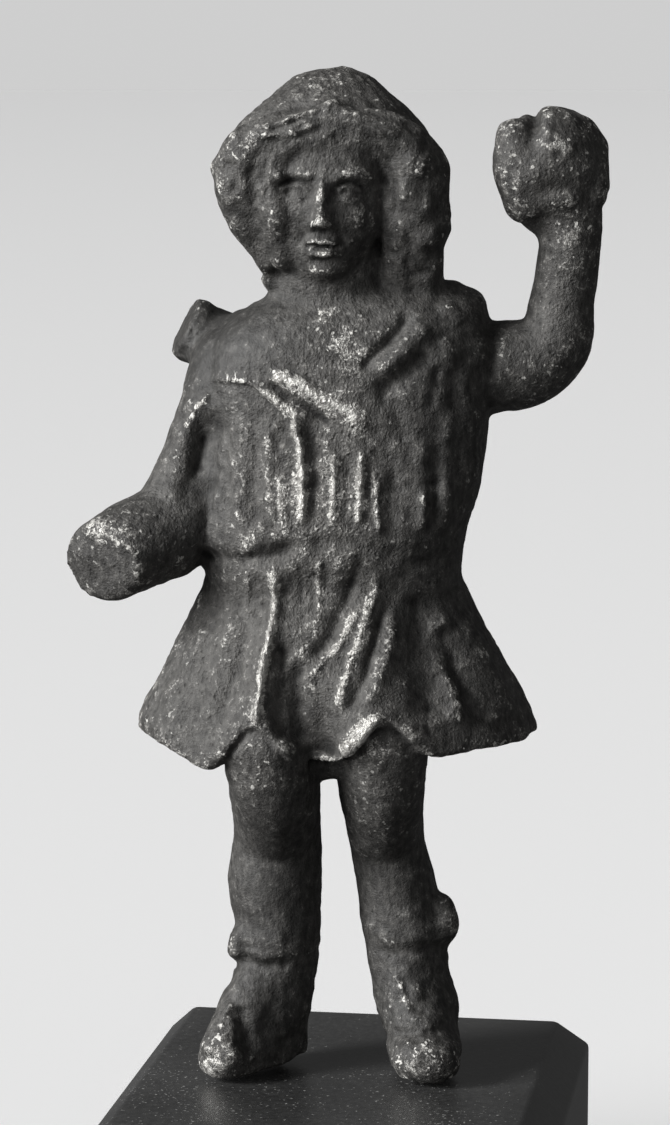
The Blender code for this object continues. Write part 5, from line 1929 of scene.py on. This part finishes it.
@dataclass(frozen=True)
class Studio:
    """Pale floor and air, soft light from the viewer's upper left, and the camera."""

    turn: float = FIGURE_TURN
    distance: float = 0.3423
    sideways: float = FIGURE_OFFSET
    rise: float = 0.0984
    look_down: float = math.radians(7.8)
    lens: float = 112.0
    air: float = 0.62
    dim_air: float = 0.085
    floor_radius: float = 60.0
    # Floor tones near the block and far off, painted shade that darkens the floor towards the distance
    near_tone: float = 0.858
    far_tone: float = 0.65
    lamps: tuple[Lamp, ...] = (
        Lamp("key", math.radians(68.0), math.radians(30.0), 3.8, math.radians(17.0)),
        Lamp("low", math.radians(62.0), math.radians(11.0), 3.5, math.radians(40.0)),
        Lamp("fill", math.radians(-20.0), math.radians(20.0), 0.26, math.radians(60.0)),
    )

    def axes(self) -> tuple[Vector, Vector]:
        """Directions towards the viewer and to the viewer's right."""
        near = Vector((math.sin(self.turn), -math.cos(self.turn), 0.0))
        return near, Vector((math.cos(self.turn), math.sin(self.turn), 0.0))

    def add_camera(self, block_top: float) -> None:
        """Place the camera where the picture was taken from.

        Args:
            block_top: height of the block's top in metres.
        """
        near, right = self.axes()
        data = bpy.data.cameras.new("view")
        data.lens = self.lens
        data.clip_start = 0.001
        camera = linked("view", data)
        above = Vector((0.0, 0.0, block_top + self.rise))
        camera.location = near * self.distance - right * self.sideways + above
        camera.rotation_euler = (0.5 * math.pi - self.look_down, 0.0, self.turn)
        bpy.context.scene.camera = camera

    def add_lights(self) -> None:
        """Shine each lamp on the figure from its angles."""
        near, right = self.axes()
        for lamp in self.lamps:
            data = bpy.data.lights.new(lamp.name, "SUN")
            data.energy = lamp.strength
            data.angle = lamp.breadth
            light = linked(lamp.name, data)
            level = near * math.cos(lamp.left) - right * math.sin(lamp.left)
            source = level * math.cos(lamp.up) + Vector((0.0, 0.0, math.sin(lamp.up)))
            light.location = source
            light.rotation_euler = source.to_track_quat("Z", "Y").to_euler()

    def add_air(self) -> None:
        """Pale air to look at, which sheds only a dim even light."""
        world = bpy.data.worlds.new("air")
        world.use_nodes = True
        tree = world.node_tree
        seen = tree.nodes.new("ShaderNodeLightPath").outputs["Is Camera Ray"]
        tone = tree.nodes.new("ShaderNodeMapRange")
        tone.inputs["To Min"].default_value = self.dim_air
        tone.inputs["To Max"].default_value = self.air
        tree.links.new(seen, tone.inputs["Value"])
        tree.links.new(tone.outputs["Result"], tree.nodes["Background"].inputs["Color"])
        bpy.context.scene.world = world

    def floor_material(self) -> bpy.types.Material:
        """Pale floor that darkens a little with the distance r from the block, as r / (r + 1), a painted
        shade that stands in for the light's fall-off.

        Returns:
            The material.
        """
        book = NodeBook("floor")
        length = {"operation": "LENGTH"}
        away = book.add("ShaderNodeVectorMath", length, {0: book.place}, "Value")
        share = away.math("DIVIDE", away + 1.0)
        near, far = (self.near_tone,) * 3, (self.far_tone,) * 3
        book.set(Base_Color=book.mixed(share, near, far), Roughness=0.9, Specular_IOR_Level=0.0)
        return book.material

    def add_floor(self) -> None:
        """Wide pale disc under the block: rings of radius r, closed at the middle."""
        sides, rings, inmost = 96, 14, 0.05
        angle = around(sides)[None, :]
        radius = np.geomspace(inmost, self.floor_radius, rings)[:, None]
        flat = np.stack([radius * np.cos(angle), radius * np.sin(angle), 0.0 * radius * angle], axis=2)
        points = np.concatenate([flat.reshape(-1, 3), np.zeros((1, 3))])
        index = np.arange(rings * sides).reshape(rings, sides)
        onward = np.roll(index, -1, axis=1)
        quads = np.stack([index[:-1], index[1:], onward[1:], onward[:-1]], axis=2).reshape(-1, 4)
        fan = np.stack([np.full(sides, rings * sides), index[0], onward[0]], axis=1)
        mesh = bpy.data.meshes.new("floor")
        mesh.from_pydata(points.tolist(), [], quads.tolist() + fan.tolist())
        mesh.materials.append(self.floor_material())
        floor = linked("floor", mesh)
        floor.visible_diffuse = False
        floor.visible_glossy = False

    def build(self, block_top: float) -> None:
        """Set up camera, lights, air and floor.

        Args:
            block_top: height of the block's top in metres.
        """
        self.add_camera(block_top)
        self.add_lights()
        self.add_air()
        self.add_floor()
        bpy.context.scene.view_settings.view_transform = "Standard"


def main() -> None:
    """Build the casting and its block, dress them, and set up the studio."""
    logging.basicConfig(level=logging.INFO, format="%(name)s: %(message)s")
    block_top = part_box("mount_block")[1].z
    figure = Casting().build(block_top, Patina())
    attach(figure, "root")
    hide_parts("figure")
    block = MountBlock().build(Varnish())
    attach(block, "root")
    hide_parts("mount_block")
    Studio().build(block_top)
    LOG.info("studio: camera, lights, air and floor")


if __name__ == "__main__":
    main()
